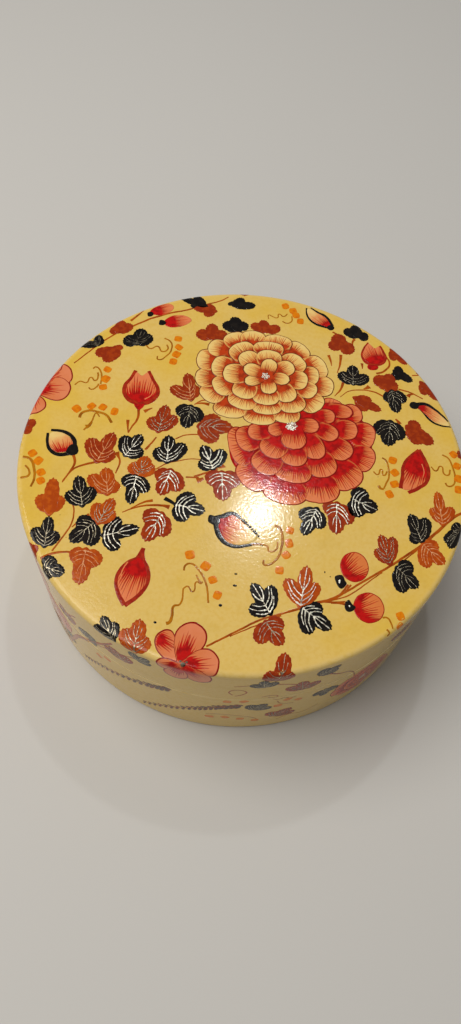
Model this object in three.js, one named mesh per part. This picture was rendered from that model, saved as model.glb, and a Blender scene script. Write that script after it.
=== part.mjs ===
// Round painted box with a lift-off lid, in millimetres, +Z up.
// The origin is the centre of the underside, which lies on z = 0.
//
// The box is built as two drums. Each drum is a band, rolled and glued into a ring, with a flat
// board glued across its end. A thinner collar stands on the base board inside the base band and
// rises above it. The lid band slides down over that collar and seats on the rim of the base band.

import * as THREE from "three";

// Driving dimensions
const OUTER_DIAMETER = 152;
const OVERALL_HEIGHT = 60;
const LID_HEIGHT = 24;
const BAND_WALL = 3.5;
const LID_BOARD_THICKNESS = 3;
const BASE_BOARD_THICKNESS = 3;
const COLLAR_WALL = 1.8;
const COLLAR_RISE = 11;

// Edge radii: the worn corners of the drums, the soft lips at the seam, and the collar's lead-in
const TOP_EDGE_RADIUS = 1.8;
const BOTTOM_EDGE_RADIUS = 1.5;
const SEAM_LIP_RADIUS = 0.6;
const COLLAR_LIP_RADIUS = 0.7;

// Radial gap between the collar and the band around it: the lid's sliding fit and the glue line
const COLLAR_FIT = 0.3;

// Fineness of the round surfaces
const TURN_STEPS = 120;
const CORNER_STEPS = 4;

// Colours of the ground paint and of the dark finish inside
const GROUND_COLOUR = 0xe0b24e;
const INSIDE_COLOUR = 0x1a1613;

// Sizes that follow from the driving dimensions
const outerRadius = OUTER_DIAMETER / 2;
const bandInnerRadius = outerRadius - BAND_WALL;
const collarOuterRadius = bandInnerRadius - COLLAR_FIT;
const collarInnerRadius = collarOuterRadius - COLLAR_WALL;
const seamHeight = OVERALL_HEIGHT - LID_HEIGHT;
const lidBoardUnderside = OVERALL_HEIGHT - LID_BOARD_THICKNESS;
const collarTop = seamHeight + COLLAR_RISE;

// Points of a quarter round between two directions, both given in degrees from the +r axis.
function quarterRound(centreR, centreZ, radius, fromDegrees, toDegrees) {
  const points = [];
  for (let i = 0; i <= CORNER_STEPS; i++) {
    const angle = THREE.MathUtils.degToRad(fromDegrees + ((toDegrees - fromDegrees) * i) / CORNER_STEPS);
    points.push(new THREE.Vector2(centreR + radius * Math.cos(angle), centreZ + radius * Math.sin(angle)));
  }
  return points;
}

// Turns an outline of (radius, height) points round the Z axis.
function turned(outline) {
  const geometry = new THREE.LatheGeometry(outline, TURN_STEPS);
  geometry.rotateX(Math.PI / 2);
  return geometry;
}

// A round board whose one outer corner is eased: the upper one or the lower one.
function boardOutline(bottom, top, edgeRadius, easedAtTop) {
  const corner = outerRadius - edgeRadius;
  const rim = easedAtTop
    ? [new THREE.Vector2(outerRadius, bottom), ...quarterRound(corner, top - edgeRadius, edgeRadius, 0, 90)]
    : [...quarterRound(corner, bottom + edgeRadius, edgeRadius, -90, 0), new THREE.Vector2(outerRadius, top)];
  return [new THREE.Vector2(0, bottom), ...rim, new THREE.Vector2(0, top)];
}

// A band of the drum, with soft lips at the end that meets the other drum.
function bandOutline(bottom, top, lipsAtTop) {
  const lip = SEAM_LIP_RADIUS;
  const lipZ = lipsAtTop ? top - lip : bottom + lip;
  const outerLip = [outerRadius - lip, lipZ, lip];
  const innerLip = [bandInnerRadius + lip, lipZ, lip];
  const outline = lipsAtTop
    ? [
        new THREE.Vector2(bandInnerRadius, bottom),
        new THREE.Vector2(outerRadius, bottom),
        ...quarterRound(...outerLip, 0, 90),
        ...quarterRound(...innerLip, 90, 180),
      ]
    : [
        ...quarterRound(...innerLip, 180, 270),
        ...quarterRound(...outerLip, 270, 360),
        new THREE.Vector2(outerRadius, top),
        new THREE.Vector2(bandInnerRadius, top),
      ];
  return [...outline, outline[0].clone()];
}

// The collar, standing on the base board, with its upper edge rounded on both sides.
function collarOutline() {
  const lip = Math.min(COLLAR_LIP_RADIUS, COLLAR_WALL / 2.5);
  const lipZ = collarTop - lip;
  const outline = [
    new THREE.Vector2(collarInnerRadius, BASE_BOARD_THICKNESS),
    new THREE.Vector2(collarOuterRadius, BASE_BOARD_THICKNESS),
    ...quarterRound(collarOuterRadius - lip, lipZ, lip, 0, 90),
    ...quarterRound(collarInnerRadius + lip, lipZ, lip, 90, 180),
  ];
  return [...outline, outline[0].clone()];
}

function piece(name, outline, material) {
  const mesh = new THREE.Mesh(turned(outline), material);
  mesh.name = name;
  return mesh;
}

const groundPaint = new THREE.MeshStandardMaterial({ color: GROUND_COLOUR, roughness: 0.2, metalness: 0 });
const insidePaint = new THREE.MeshStandardMaterial({ color: INSIDE_COLOUR, roughness: 0.45, metalness: 0 });

const lid = new THREE.Group();
lid.add(
  piece("lid_board", boardOutline(lidBoardUnderside, OVERALL_HEIGHT, TOP_EDGE_RADIUS, true), groundPaint),
  piece("lid_band", bandOutline(seamHeight, lidBoardUnderside, false), groundPaint),
);

const base = new THREE.Group();
base.add(
  piece("base_board", boardOutline(0, BASE_BOARD_THICKNESS, BOTTOM_EDGE_RADIUS, false), groundPaint),
  piece("base_band", bandOutline(BASE_BOARD_THICKNESS, seamHeight, true), groundPaint),
  piece("base_collar", collarOutline(), insidePaint),
);

const box = new THREE.Group();
box.add(lid, base);

export default box;
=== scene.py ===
import math
import random

import bmesh
import bpy
from mathutils import Matrix, Vector


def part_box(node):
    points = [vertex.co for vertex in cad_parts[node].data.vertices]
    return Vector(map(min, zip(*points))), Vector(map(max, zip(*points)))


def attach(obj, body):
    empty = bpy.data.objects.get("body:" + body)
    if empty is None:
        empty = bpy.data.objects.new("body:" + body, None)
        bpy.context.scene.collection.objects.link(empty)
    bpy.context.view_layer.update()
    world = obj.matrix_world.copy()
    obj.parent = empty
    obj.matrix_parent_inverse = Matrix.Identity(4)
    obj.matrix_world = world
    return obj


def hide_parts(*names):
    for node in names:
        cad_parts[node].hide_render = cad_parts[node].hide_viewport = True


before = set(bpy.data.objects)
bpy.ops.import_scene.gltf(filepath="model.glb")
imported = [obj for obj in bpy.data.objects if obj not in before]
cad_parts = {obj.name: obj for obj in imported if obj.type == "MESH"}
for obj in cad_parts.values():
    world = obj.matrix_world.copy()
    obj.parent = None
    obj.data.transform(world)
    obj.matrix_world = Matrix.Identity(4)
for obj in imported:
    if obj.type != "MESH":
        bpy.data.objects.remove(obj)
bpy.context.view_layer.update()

# The camera stands where the photograph was taken, a forearm above the box and looking steeply down.
# Its lens, tilt and roll were worked out from the outlines of the lid and of the foot.
FOCAL_LENGTH_PIXELS = 793.3
PHOTO_HEIGHT_PIXELS = 1024
SENSOR_MM = 36.0
NEAREST_SEEN = 0.01
LOOKING_DOWN = math.radians(61.0)
ROLL = 0.1044
LID_CENTRE_IN_VIEW = Vector((0.0046, -0.0181, 0.2683))

sine, cosine = math.sin(LOOKING_DOWN), math.cos(LOOKING_DOWN)
level_view = Matrix(((1, 0, 0), (0, -sine, -cosine), (0, cosine, -sine)))
view_to_box = (Matrix.Rotation(ROLL, 3, "Z") @ level_view).transposed()
lid_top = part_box("lid_board")[1].z
camera = bpy.data.objects.new("camera", bpy.data.cameras.new("camera"))
camera.data.sensor_width = SENSOR_MM
camera.data.lens = SENSOR_MM * FOCAL_LENGTH_PIXELS / PHOTO_HEIGHT_PIXELS
camera.data.clip_start = NEAREST_SEEN
turned_view = (view_to_box @ Matrix.Diagonal((1, -1, -1))).to_4x4()
camera_at = Vector((0, 0, lid_top)) - view_to_box @ LID_CENTRE_IN_VIEW
camera.matrix_world = Matrix.Translation(camera_at) @ turned_view
bpy.context.scene.collection.objects.link(camera)
bpy.context.scene.camera = camera
bpy.context.scene.view_settings.view_transform = "Standard"

# The coat of lacquer over the whole box: brushed on by hand over the painting, so it lies in a fine
# orange peel, rises and sinks with the long waves of the paper and shines unevenly.
LACQUER_IOR = 1.33
LACQUER_ROUGHNESS = 0.1
UNEVEN_SHINE = 0.12
PEEL_SIZE = 0.00095
PEEL_DEPTH = 0.000025
WAVE_SIZE = 0.021
WAVE_SHARE = 3.5


def place(tree, kind, feeds=None, **settings):
    """Adds a node to a tree. Each input is fed with a value or with another node's socket."""
    node = tree.nodes.new(kind)
    for name, value in settings.items():
        setattr(node, name, value)
    for key, value in (feeds or {}).items():
        if isinstance(value, bpy.types.NodeSocket):
            tree.links.new(value, node.inputs[key])
        else:
            node.inputs[key].default_value = value
    return node


def math_in(tree):
    """A function that adds one Math node to a tree and returns its result."""
    def result(operation, *values):
        return place(tree, "ShaderNodeMath", dict(enumerate(values)), operation=operation).outputs[0]
    return result


def position_in(tree):
    """Where a point lies on the box, which every pattern in the paint and the lacquer reads."""
    return place(tree, "ShaderNodeTexCoord").outputs["Object"]


def split(tree, vector):
    """The X, Y and Z of a vector, as the sockets of one node."""
    return place(tree, "ShaderNodeSeparateXYZ", {0: vector}).outputs


def joined(tree, x, y, z=0.0):
    """A vector from its X, Y and Z."""
    return place(tree, "ShaderNodeCombineXYZ", {0: x, 1: y, 2: z}).outputs[0]


def cloudy(tree, where, size, detail):
    """Soft noise from 0 to 1, in lumps of about the given size in metres."""
    feeds = {"Vector": where, "Scale": 1 / size, "Detail": detail}
    return place(tree, "ShaderNodeTexNoise", feeds).outputs["Fac"]


def ramped(tree, value, low, high):
    """0 below low, 1 above high and a soft step between them."""
    feeds = {"Value": value, "From Min": low, "From Max": high}
    return place(tree, "ShaderNodeMapRange", feeds, interpolation_type="SMOOTHSTEP").outputs["Result"]


def blended(tree, mask, colour_a, colour_b):
    """Colour A where the mask is 0 and colour B where it is 1."""
    return place(tree, "ShaderNodeMix", {0: mask, 6: colour_a, 7: colour_b}, data_type="RGBA").outputs[2]


def srgb(red, green, blue):
    """A colour as a paint chart gives it, from 0 to 255, in the renderer's linear light."""
    def linear(level):
        level /= 255
        return level / 12.92 if level <= 0.04045 else ((level + 0.055) / 1.055) ** 2.4
    return (linear(red), linear(green), linear(blue), 1.0)


def group(name, kind, sockets):
    """A node group with named inputs and outputs, and its two end nodes."""
    tree = bpy.data.node_groups.new(name, kind)
    for direction, socket_name, socket_kind, value in sockets:
        socket_type = "NodeSocket" + socket_kind
        socket = tree.interface.new_socket(socket_name, in_out=direction, socket_type=socket_type)
        if value is not None:
            socket.default_value = value
    return tree, tree.nodes.new("NodeGroupInput"), tree.nodes.new("NodeGroupOutput")


lacquer, lacquer_in, lacquer_out = group("Lacquer", "ShaderNodeTree", [
    ("INPUT", "Peel size", "Float", PEEL_SIZE),
    ("INPUT", "Roughness", "Float", LACQUER_ROUGHNESS),
    ("OUTPUT", "Height", "Float", None),
    ("OUTPUT", "Roughness", "Float", None),
])
calc = math_in(lacquer)
where = position_in(lacquer)
peel_scale = calc("DIVIDE", 1.0, lacquer_in.outputs["Peel size"])
peel_noise = {"Vector": where, "Scale": peel_scale, "Detail": 2.0}
peel = place(lacquer, "ShaderNodeTexNoise", peel_noise).outputs["Fac"]
height = calc("MULTIPLY_ADD", cloudy(lacquer, where, WAVE_SIZE, 1.0), WAVE_SHARE, peel)
lacquer.links.new(height, lacquer_out.inputs["Height"])
dullness = calc("MULTIPLY_ADD", peel, UNEVEN_SHINE, -UNEVEN_SHINE / 2)
lacquer.links.new(calc("ADD", dullness, lacquer_in.outputs["Roughness"]), lacquer_out.inputs["Roughness"])


def lacquered(name, roughness=LACQUER_ROUGHNESS, metallic=0.0, depth=PEEL_DEPTH):
    """A material whose shader has the lacquer's bump and shine. Returns it, its tree and its shader."""
    material = bpy.data.materials.new(name)
    material.use_nodes = True
    tree = material.node_tree
    shader = tree.nodes["Principled BSDF"]
    shader.inputs["Metallic"].default_value = metallic
    shader.inputs["IOR"].default_value = LACQUER_IOR
    coat = place(tree, "ShaderNodeGroup", {"Roughness": roughness}, node_tree=lacquer)
    bump = place(tree, "ShaderNodeBump", {"Height": coat.outputs["Height"], "Distance": depth})
    tree.links.new(bump.outputs["Normal"], shader.inputs["Normal"])
    tree.links.new(coat.outputs["Roughness"], shader.inputs["Roughness"])
    return material, tree, shader


# The ground coat: a warm yellow rubbed on in thin layers over the paper, paler in drifts, with a few
# dark specks in it. It is pale along the lips of the seam and round the top corner: partly wear where
# hands touch, partly a painted highlight where these edges catch the light. Its middle and front are
# painted paler still, a haze of the lamp's highlight.
GROUND_YELLOW = srgb(225, 185, 70)
GROUND_PALE = srgb(226, 192, 108)
GROUND_DEEP = srgb(216, 172, 64)
GROUND_OLIVE = srgb(206, 170, 76)
GROUND_SPECK = srgb(120, 84, 40)
# The pale of the seam's lips and the top corner: partly wear, partly a painted highlight.
PALE_WEAR_AND_HIGHLIGHT = srgb(240, 214, 150)
DRIFT_SIZE = 0.018
DRIFT_CONTRAST = 1.6
PALENESS = 0.84
# The ground is painted paler towards the middle and the front, a painted haze of the lamp's highlight.
PALER_MIDDLE = -105.0
PALER_FRONT = -1.6
GRAIN_SIZE = 0.0012
GRAIN_SHARE = 0.32
BLOOM_SIZE = 0.0065
BLOOM_SHARE = 0.24
SPECK_SPACING = 0.011
SPECK_RADIUS = 0.018
RIM_WEAR_AND_HIGHLIGHT = 0.4
RIM_PALE_STARTS = 0.0024
RIM_PALE_IS_FULL = 0.0008
SEAM_PALE_WIDTH = 0.0007
WEAR_PATCH_SIZE = 1 / 260
WEAR_RAGGEDNESS = 1.6
WEAR_CORE = 0.25
WEAR_SOFTNESS = 0.35
PAINT_DEPTH = 0.0002
seam_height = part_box("lid_band")[0].z
ground_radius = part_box("lid_board")[1].x - PAINT_DEPTH
ground_top = lid_top - PAINT_DEPTH

wear, wear_in, wear_out = group("Worn along a height", "ShaderNodeTree", [
    ("INPUT", "Height", "Float", 0.0),
    ("INPUT", "Width", "Float", 0.001),
    ("OUTPUT", "Mask", "Float", None),
])
calc = math_in(wear)
where = position_in(wear)
away = calc("ABSOLUTE", calc("SUBTRACT", split(wear, where)["Z"], wear_in.outputs["Height"]))
share = calc("DIVIDE", away, wear_in.outputs["Width"])
patchy = cloudy(wear, where, WEAR_PATCH_SIZE, 3.0)
edge = calc("SUBTRACT", calc("MULTIPLY_ADD", patchy, WEAR_RAGGEDNESS, WEAR_CORE), share)
wear.links.new(ramped(wear, edge, 0.0, WEAR_SOFTNESS), wear_out.inputs["Mask"])


def worn_at(tree, height, width):
    """The mask of the wear along one height, for a material."""
    return place(tree, "ShaderNodeGroup", {"Height": height, "Width": width}, node_tree=wear).outputs["Mask"]


def ground_coat(name):
    """The yellow ground, pale at the seam and the lid's top corner from wear and a painted highlight,
    and paler in its middle and front, a painted haze of the lamp's highlight.
    """
    material, tree, shader = lacquered(name)
    calc = math_in(tree)
    where = position_in(tree)
    apart = split(tree, where)
    across = calc("MULTIPLY", apart["X"], apart["X"])

    drift = calc("SUBTRACT", cloudy(tree, where, DRIFT_SIZE, 3.0), 0.5)
    # Painted highlight haze: the ground is made paler in the middle and towards the front.
    highlight_haze = calc("MULTIPLY_ADD", across, PALER_MIDDLE, calc("MULTIPLY", apart["Y"], PALER_FRONT))
    paleness = calc("ADD", calc("MULTIPLY_ADD", drift, DRIFT_CONTRAST, PALENESS), highlight_haze)
    colour = blended(tree, ramped(tree, paleness, 0.1, 0.95), GROUND_YELLOW, GROUND_PALE)

    grain = cloudy(tree, where, GRAIN_SIZE, 4.0)
    grain_mask = calc("MULTIPLY", ramped(tree, grain, 0.38, 0.7), GRAIN_SHARE)
    colour = blended(tree, grain_mask, colour, GROUND_DEEP)
    bloom = ramped(tree, cloudy(tree, where, BLOOM_SIZE, 3.0), 0.5, 0.74)
    colour = blended(tree, calc("MULTIPLY", bloom, BLOOM_SHARE), colour, GROUND_OLIVE)

    speckling = {"Vector": where, "Scale": 1 / SPECK_SPACING, "Randomness": 1.0}
    cells = place(tree, "ShaderNodeTexVoronoi", speckling).outputs["Distance"]
    speck = ramped(tree, cells, SPECK_RADIUS, SPECK_RADIUS * 0.5)
    colour = blended(tree, speck, colour, GROUND_SPECK)

    # Pale along the seam: partly wear, partly a painted highlight on the lips.
    colour = blended(tree, worn_at(tree, seam_height, SEAM_PALE_WIDTH), colour, PALE_WEAR_AND_HIGHLIGHT)
    # Pale round the top corner: partly wear, partly a painted highlight where the corner catches the light.
    from_axis = calc("SQRT", calc("MULTIPLY_ADD", apart["Y"], apart["Y"], across))
    by_rim, by_top = (
        ramped(tree, value, full_size - RIM_PALE_STARTS, full_size - RIM_PALE_IS_FULL)
        for value, full_size in ((from_axis, ground_radius), (apart["Z"], ground_top))
    )
    rubbed = calc("MULTIPLY", ramped(tree, grain, 0.3, 0.6), RIM_WEAR_AND_HIGHLIGHT)
    rim_wear_and_highlight = calc("MULTIPLY", calc("MULTIPLY", by_rim, by_top), rubbed)
    tree.links.new(blended(tree, rim_wear_and_highlight, colour, PALE_WEAR_AND_HIGHLIGHT), shader.inputs["Base Color"])
    return material


# The dark paint inside the box and under it: one brushed satin coat, nearly black, rubbed brown where
# the lid slides on it and where the box stands.
INSIDE_DARK = srgb(30, 24, 21)
INSIDE_BROWN = srgb(66, 44, 30)
INSIDE_ROUGHNESS = 0.38
INSIDE_PEEL_DEPTH = 0.00001
BRUSH_MARK_SIZE = 0.0009
BRUSH_MARK_STRETCH = 0.06
THIN_PAINT_SHARE = 0.5


def inside_coat(name, worn_height, worn_width):
    """The dark coat, with brush marks that run round the drum, worn brown along one height."""
    material, tree, shader = lacquered(name, INSIDE_ROUGHNESS, depth=INSIDE_PEEL_DEPTH)
    stretch = {"Vector": position_in(tree), "Scale": (BRUSH_MARK_STRETCH, BRUSH_MARK_STRETCH, 1.0)}
    squeezed = place(tree, "ShaderNodeMapping", stretch, vector_type="POINT").outputs["Vector"]
    marks = ramped(tree, cloudy(tree, squeezed, BRUSH_MARK_SIZE, 4.0), 0.45, 0.8)
    calc = math_in(tree)
    bare = calc("MAXIMUM", calc("MULTIPLY", marks, THIN_PAINT_SHARE), worn_at(tree, worn_height, worn_width))
    tree.links.new(blended(tree, bare, INSIDE_DARK, INSIDE_BROWN), shader.inputs["Base Color"])
    return material


# The lid: a flat board and a rolled band of pressed paper, glued, filled and painted over as one, so no
# joint shows. Its ground lies a little inside the full size, to leave room for the painting on it.
TOP_CORNER = 0.0018
SEAM_LIP = 0.0006
BAND_WALL = 0.0035
CORNER_STEPS = 8
TURN_STEPS = 360
SUPPORT = 0.0004
YELLOW, DARK = 0, 1
YELLOW_PAST_BAND = 0.0004
YELLOW_PAST_BOARD = 0.00025
LID_RUB_HEIGHT = 0.001
LID_RUB_WIDTH = 0.0015
board_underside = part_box("lid_board")[0].z
band_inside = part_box("lid_board")[1].x - BAND_WALL


def corner(radius_at, height_at, size, start, finish):
    """A rounded corner of an outline, with a point a little before and after it to hold the flats flat."""
    turn = math.copysign(1, finish - start)

    def at(degrees, ahead):
        angle = math.radians(degrees)
        r = radius_at + size * math.cos(angle) - ahead * turn * math.sin(angle)
        return (r, height_at + size * math.sin(angle) + ahead * turn * math.cos(angle))

    arc = [at(start + (finish - start) * step / CORNER_STEPS, 0.0) for step in range(CORNER_STEPS + 1)]
    return [at(start, -SUPPORT), *arc, at(finish, SUPPORT)]


def turned(name, outline, materials, pick):
    """A body turned round the Z axis from (radius, height) points. Points on the axis become poles.

    pick gives the number of a face's material from the radius and the height at its middle.
    """
    vertices, rings = [], []
    for r, z in outline:
        count = TURN_STEPS if r > 0 else 1
        rings.append(range(len(vertices), len(vertices) + count))
        for step in range(count):
            angle = math.tau * step / TURN_STEPS
            vertices.append((r * math.cos(angle), r * math.sin(angle), z))
    faces, kinds = [], []
    closed = outline[0][0] > 0
    for a in range(len(rings) if closed else len(rings) - 1):
        b = (a + 1) % len(rings)
        kind = pick((outline[a][0] + outline[b][0]) / 2, (outline[a][1] + outline[b][1]) / 2)
        ring_a, ring_b = rings[a], rings[b]
        for step in range(TURN_STEPS):
            after = (step + 1) % TURN_STEPS
            if len(ring_a) == 1:
                faces.append((ring_a[0], ring_b[after], ring_b[step]))
            elif len(ring_b) == 1:
                faces.append((ring_a[step], ring_a[after], ring_b[0]))
            else:
                faces.append((ring_a[step], ring_a[after], ring_b[after], ring_b[step]))
            kinds.append(kind)
    mesh = bpy.data.meshes.new(name)
    mesh.from_pydata(vertices, [], faces)
    mesh.polygons.foreach_set("use_smooth", [True] * len(faces))
    mesh.polygons.foreach_set("material_index", kinds)
    for material in materials:
        mesh.materials.append(material)
    piece = bpy.data.objects.new(name, mesh)
    bpy.context.scene.collection.objects.link(piece)
    return piece


def lid_paint(r, z):
    outside = r > band_inside + YELLOW_PAST_BAND or z > board_underside + YELLOW_PAST_BOARD
    return YELLOW if outside else DARK


lid_outline = [
    (0.0, board_underside),
    *corner(band_inside - SEAM_LIP, board_underside - SEAM_LIP, SEAM_LIP, 90, 0),
    *corner(band_inside + SEAM_LIP, seam_height + SEAM_LIP, SEAM_LIP, 180, 270),
    *corner(ground_radius - SEAM_LIP, seam_height + SEAM_LIP, SEAM_LIP, -90, 0),
    *corner(ground_radius - TOP_CORNER, ground_top - TOP_CORNER, TOP_CORNER, 0, 90),
    (0.0, ground_top),
]
lid_inside_coat = inside_coat("lid inside", seam_height + LID_RUB_HEIGHT, LID_RUB_WIDTH)
lid_coats = [ground_coat("lid ground"), lid_inside_coat]
lid_shell = turned("lid_shell", lid_outline, lid_coats, lid_paint)
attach(lid_shell, "lid")
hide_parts("lid_board", "lid_band")

# The base: a board and a band like the lid's, painted over as one, with its foot corner eased. It
# stands on its dark underside.
FOOT_CORNER = 0.0015
FOOT_RUB_WIDTH = 0.0002
YELLOW_ABOVE_FOOT = 0.0003
floor_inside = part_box("base_collar")[0].z


def base_paint(r, z):
    return YELLOW if r > band_inside + YELLOW_PAST_BAND and z > YELLOW_ABOVE_FOOT else DARK


base_outline = [
    (0.0, 0.0),
    *corner(ground_radius - FOOT_CORNER, FOOT_CORNER, FOOT_CORNER, -90, 0),
    *corner(ground_radius - SEAM_LIP, seam_height - SEAM_LIP, SEAM_LIP, 0, 90),
    *corner(band_inside + SEAM_LIP, seam_height - SEAM_LIP, SEAM_LIP, 90, 180),
    (band_inside, floor_inside),
    (band_inside - SUPPORT, floor_inside),
    (0.0, floor_inside),
]
base_coats = [ground_coat("base ground"), inside_coat("base inside", 0.0, FOOT_RUB_WIDTH)]
base_shell = turned("base_shell", base_outline, base_coats, base_paint)
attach(base_shell, "base")
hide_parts("base_board", "base_band")

# The collar: a thinner band glued inside the base, which the lid slides down over. Its upper edge is
# rounded, and rubbed brown by the lid.
COLLAR_WALL = 0.0018
COLLAR_LIP = 0.0007
COLLAR_RUB_WIDTH = 0.0012
collar_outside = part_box("base_collar")[1].x
collar_inside = collar_outside - COLLAR_WALL
collar_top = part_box("base_collar")[1].z
collar_outline = [
    (collar_inside, floor_inside),
    (collar_outside, floor_inside),
    *corner(collar_outside - COLLAR_LIP, collar_top - COLLAR_LIP, COLLAR_LIP, 0, 90)[:-1],
    *corner(collar_inside + COLLAR_LIP, collar_top - COLLAR_LIP, COLLAR_LIP, 90, 180)[1:],
]
collar_coats = [inside_coat("collar coat", collar_top, COLLAR_RUB_WIDTH)]
collar = turned("collar_sleeve", collar_outline, collar_coats, lambda r, z: 0)
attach(collar, "base")
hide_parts("base_collar")

# The brush: every mark is painted flat on a chart of the top or of the side, shaken a little by the
# hand, then laid on the drum. On the top's chart a mark that crosses the rim goes on down the side.
MM = 0.001
HAND_SHAKE = 0.00034
HAND_SHAKE_SIZE = 0.0027
PAINT_THICKNESS = 0.000014
PAINT_ROOT = 0.00017
PAINT_EDGE_STARTS = 0.93
PAINT_EDGE_THICKNESS = 0.4
SEED_STEP = 0.37
BEAD_CONTRAST = 4.0
THINNEST_BEAD = 0.12
SEAM_GAP = 0.00045

skin, skin_in, skin_out = group("Onto the drum", "GeometryNodeTree", [
    ("INPUT", "Geometry", "Geometry", None),
    ("INPUT", "On the side", "Bool", False),
    ("INPUT", "Radius", "Float", ground_radius),
    ("INPUT", "Top", "Float", ground_top),
    ("INPUT", "Corner", "Float", TOP_CORNER),
    ("INPUT", "Shake", "Float", HAND_SHAKE),
    ("INPUT", "Shake size", "Float", HAND_SHAKE_SIZE),
    ("OUTPUT", "Geometry", "Geometry", None),
])
calc = math_in(skin)
radius, top, bend = (skin_in.outputs[name] for name in ("Radius", "Top", "Corner"))
chart = split(skin, place(skin, "GeometryNodeInputPosition").outputs[0])
flat_chart = joined(skin, chart["X"], chart["Y"])
shake_scale = calc("DIVIDE", 1.0, skin_in.outputs["Shake size"])
shake = place(skin, "ShaderNodeTexNoise", {"Vector": flat_chart, "Scale": shake_scale, "Detail": 2.0})
shaken = split(skin, shake.outputs["Color"])
x, y = (
    calc("MULTIPLY_ADD", calc("SUBTRACT", shaken[axis], 0.5), skin_in.outputs["Shake"], chart[axis])
    for axis in ("X", "Y")
)
from_centre = calc("SQRT", calc("MULTIPLY_ADD", x, x, calc("MULTIPLY_ADD", y, y, 1e-12)))
round_side = calc("SUBTRACT", calc("DIVIDE", x, radius), math.pi / 2)
bend_start = calc("SUBTRACT", radius, bend)
bend_end = calc("MULTIPLY_ADD", bend, math.pi / 2, bend_start)
straight_top = calc("SUBTRACT", top, bend)
down_side = calc("ADD", bend_end, calc("SUBTRACT", straight_top, y))


def on_side_or_top(for_side, for_top):
    """Picks between the side's value and the top's, as the chart in use needs."""
    feeds = {"Switch": skin_in.outputs["On the side"], "False": for_top, "True": for_side}
    return place(skin, "GeometryNodeSwitch", feeds, input_type="FLOAT").outputs[0]


away = on_side_or_top(down_side, from_centre)
way_x = on_side_or_top(calc("COSINE", round_side), calc("DIVIDE", x, from_centre))
way_y = on_side_or_top(calc("SINE", round_side), calc("DIVIDE", y, from_centre))
round_corner = calc("MAXIMUM", calc("DIVIDE", calc("SUBTRACT", away, bend_start), bend), 0.0)
turn = calc("MINIMUM", round_corner, math.pi / 2)
lifted_bend = calc("ADD", bend, chart["Z"])
reach = calc("MULTIPLY_ADD", lifted_bend, calc("SINE", turn), calc("MINIMUM", away, bend_start))
dropped = calc("SUBTRACT", straight_top, calc("MAXIMUM", calc("SUBTRACT", away, bend_end), 0.0))
level = calc("MULTIPLY_ADD", lifted_bend, calc("COSINE", turn), dropped)
laid_at = joined(skin, calc("MULTIPLY", reach, way_x), calc("MULTIPLY", reach, way_y), level)
moved = place(
    skin, "GeometryNodeSetPosition", {"Geometry": skin_in.outputs["Geometry"], "Position": laid_at})
skin.links.new(moved.outputs[0], skin_out.inputs["Geometry"])


def finish_tree(tree, ends, geometry):
    """Ends a painting tree: lays the marks on the drum and gives them their paint."""
    feeds = {"Geometry": geometry, "On the side": ends[0].outputs["On the side"]}
    on_drum = place(tree, "GeometryNodeGroup", feeds, node_tree=skin)
    feeds = {"Geometry": on_drum.outputs[0], "Material": ends[0].outputs["Paint"]}
    painted = place(tree, "GeometryNodeSetMaterial", feeds)
    feeds = {"Geometry": painted.outputs[0], "Shade Smooth": True}
    smooth = place(tree, "GeometryNodeSetShadeSmooth", feeds)
    tree.links.new(smooth.outputs[0], ends[1].inputs["Geometry"])


def painting_tree(name, own_sockets=()):
    """A painting tree with the sockets that all of them have and some of its own, and its two ends."""
    return group(name, "GeometryNodeTree", [
        ("INPUT", "Geometry", "Geometry", None),
        *own_sockets,
        ("INPUT", "Paint", "Material", None),
        ("INPUT", "On the side", "Bool", False),
        ("OUTPUT", "Geometry", "Geometry", None),
    ])


patch_tree, *patch_ends = painting_tree("Painted patches")
finish_tree(patch_tree, patch_ends, patch_ends[0].outputs["Geometry"])

dab_tree, *dab_ends = painting_tree("Painted dabs", [
    ("INPUT", "Dab", "Object", None),
    ("INPUT", "Fineness", "Int", 0),
])
turn, size = (
    place(dab_tree, "GeometryNodeInputNamedAttribute", {"Name": name}, data_type=kind).outputs[0]
    for name, kind in (("turn", "FLOAT"), ("size", "FLOAT_VECTOR"))
)
turned_by = place(dab_tree, "FunctionNodeAxisAngleToRotation", {"Axis": (0, 0, 1), "Angle": turn}).outputs[0]
one_dab = place(dab_tree, "GeometryNodeObjectInfo", {"Object": dab_ends[0].outputs["Dab"]})
all_dabs = place(dab_tree, "GeometryNodeInstanceOnPoints", {
    "Points": dab_ends[0].outputs["Geometry"],
    "Instance": one_dab.outputs["Geometry"],
    "Rotation": turned_by,
    "Scale": size,
})
real_dabs = place(dab_tree, "GeometryNodeRealizeInstances", {"Geometry": all_dabs.outputs[0]})
finer = place(dab_tree, "GeometryNodeSubdivideMesh", {
    "Mesh": real_dabs.outputs[0], "Level": dab_ends[0].outputs["Fineness"]})
finish_tree(dab_tree, dab_ends, finer.outputs[0])

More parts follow.
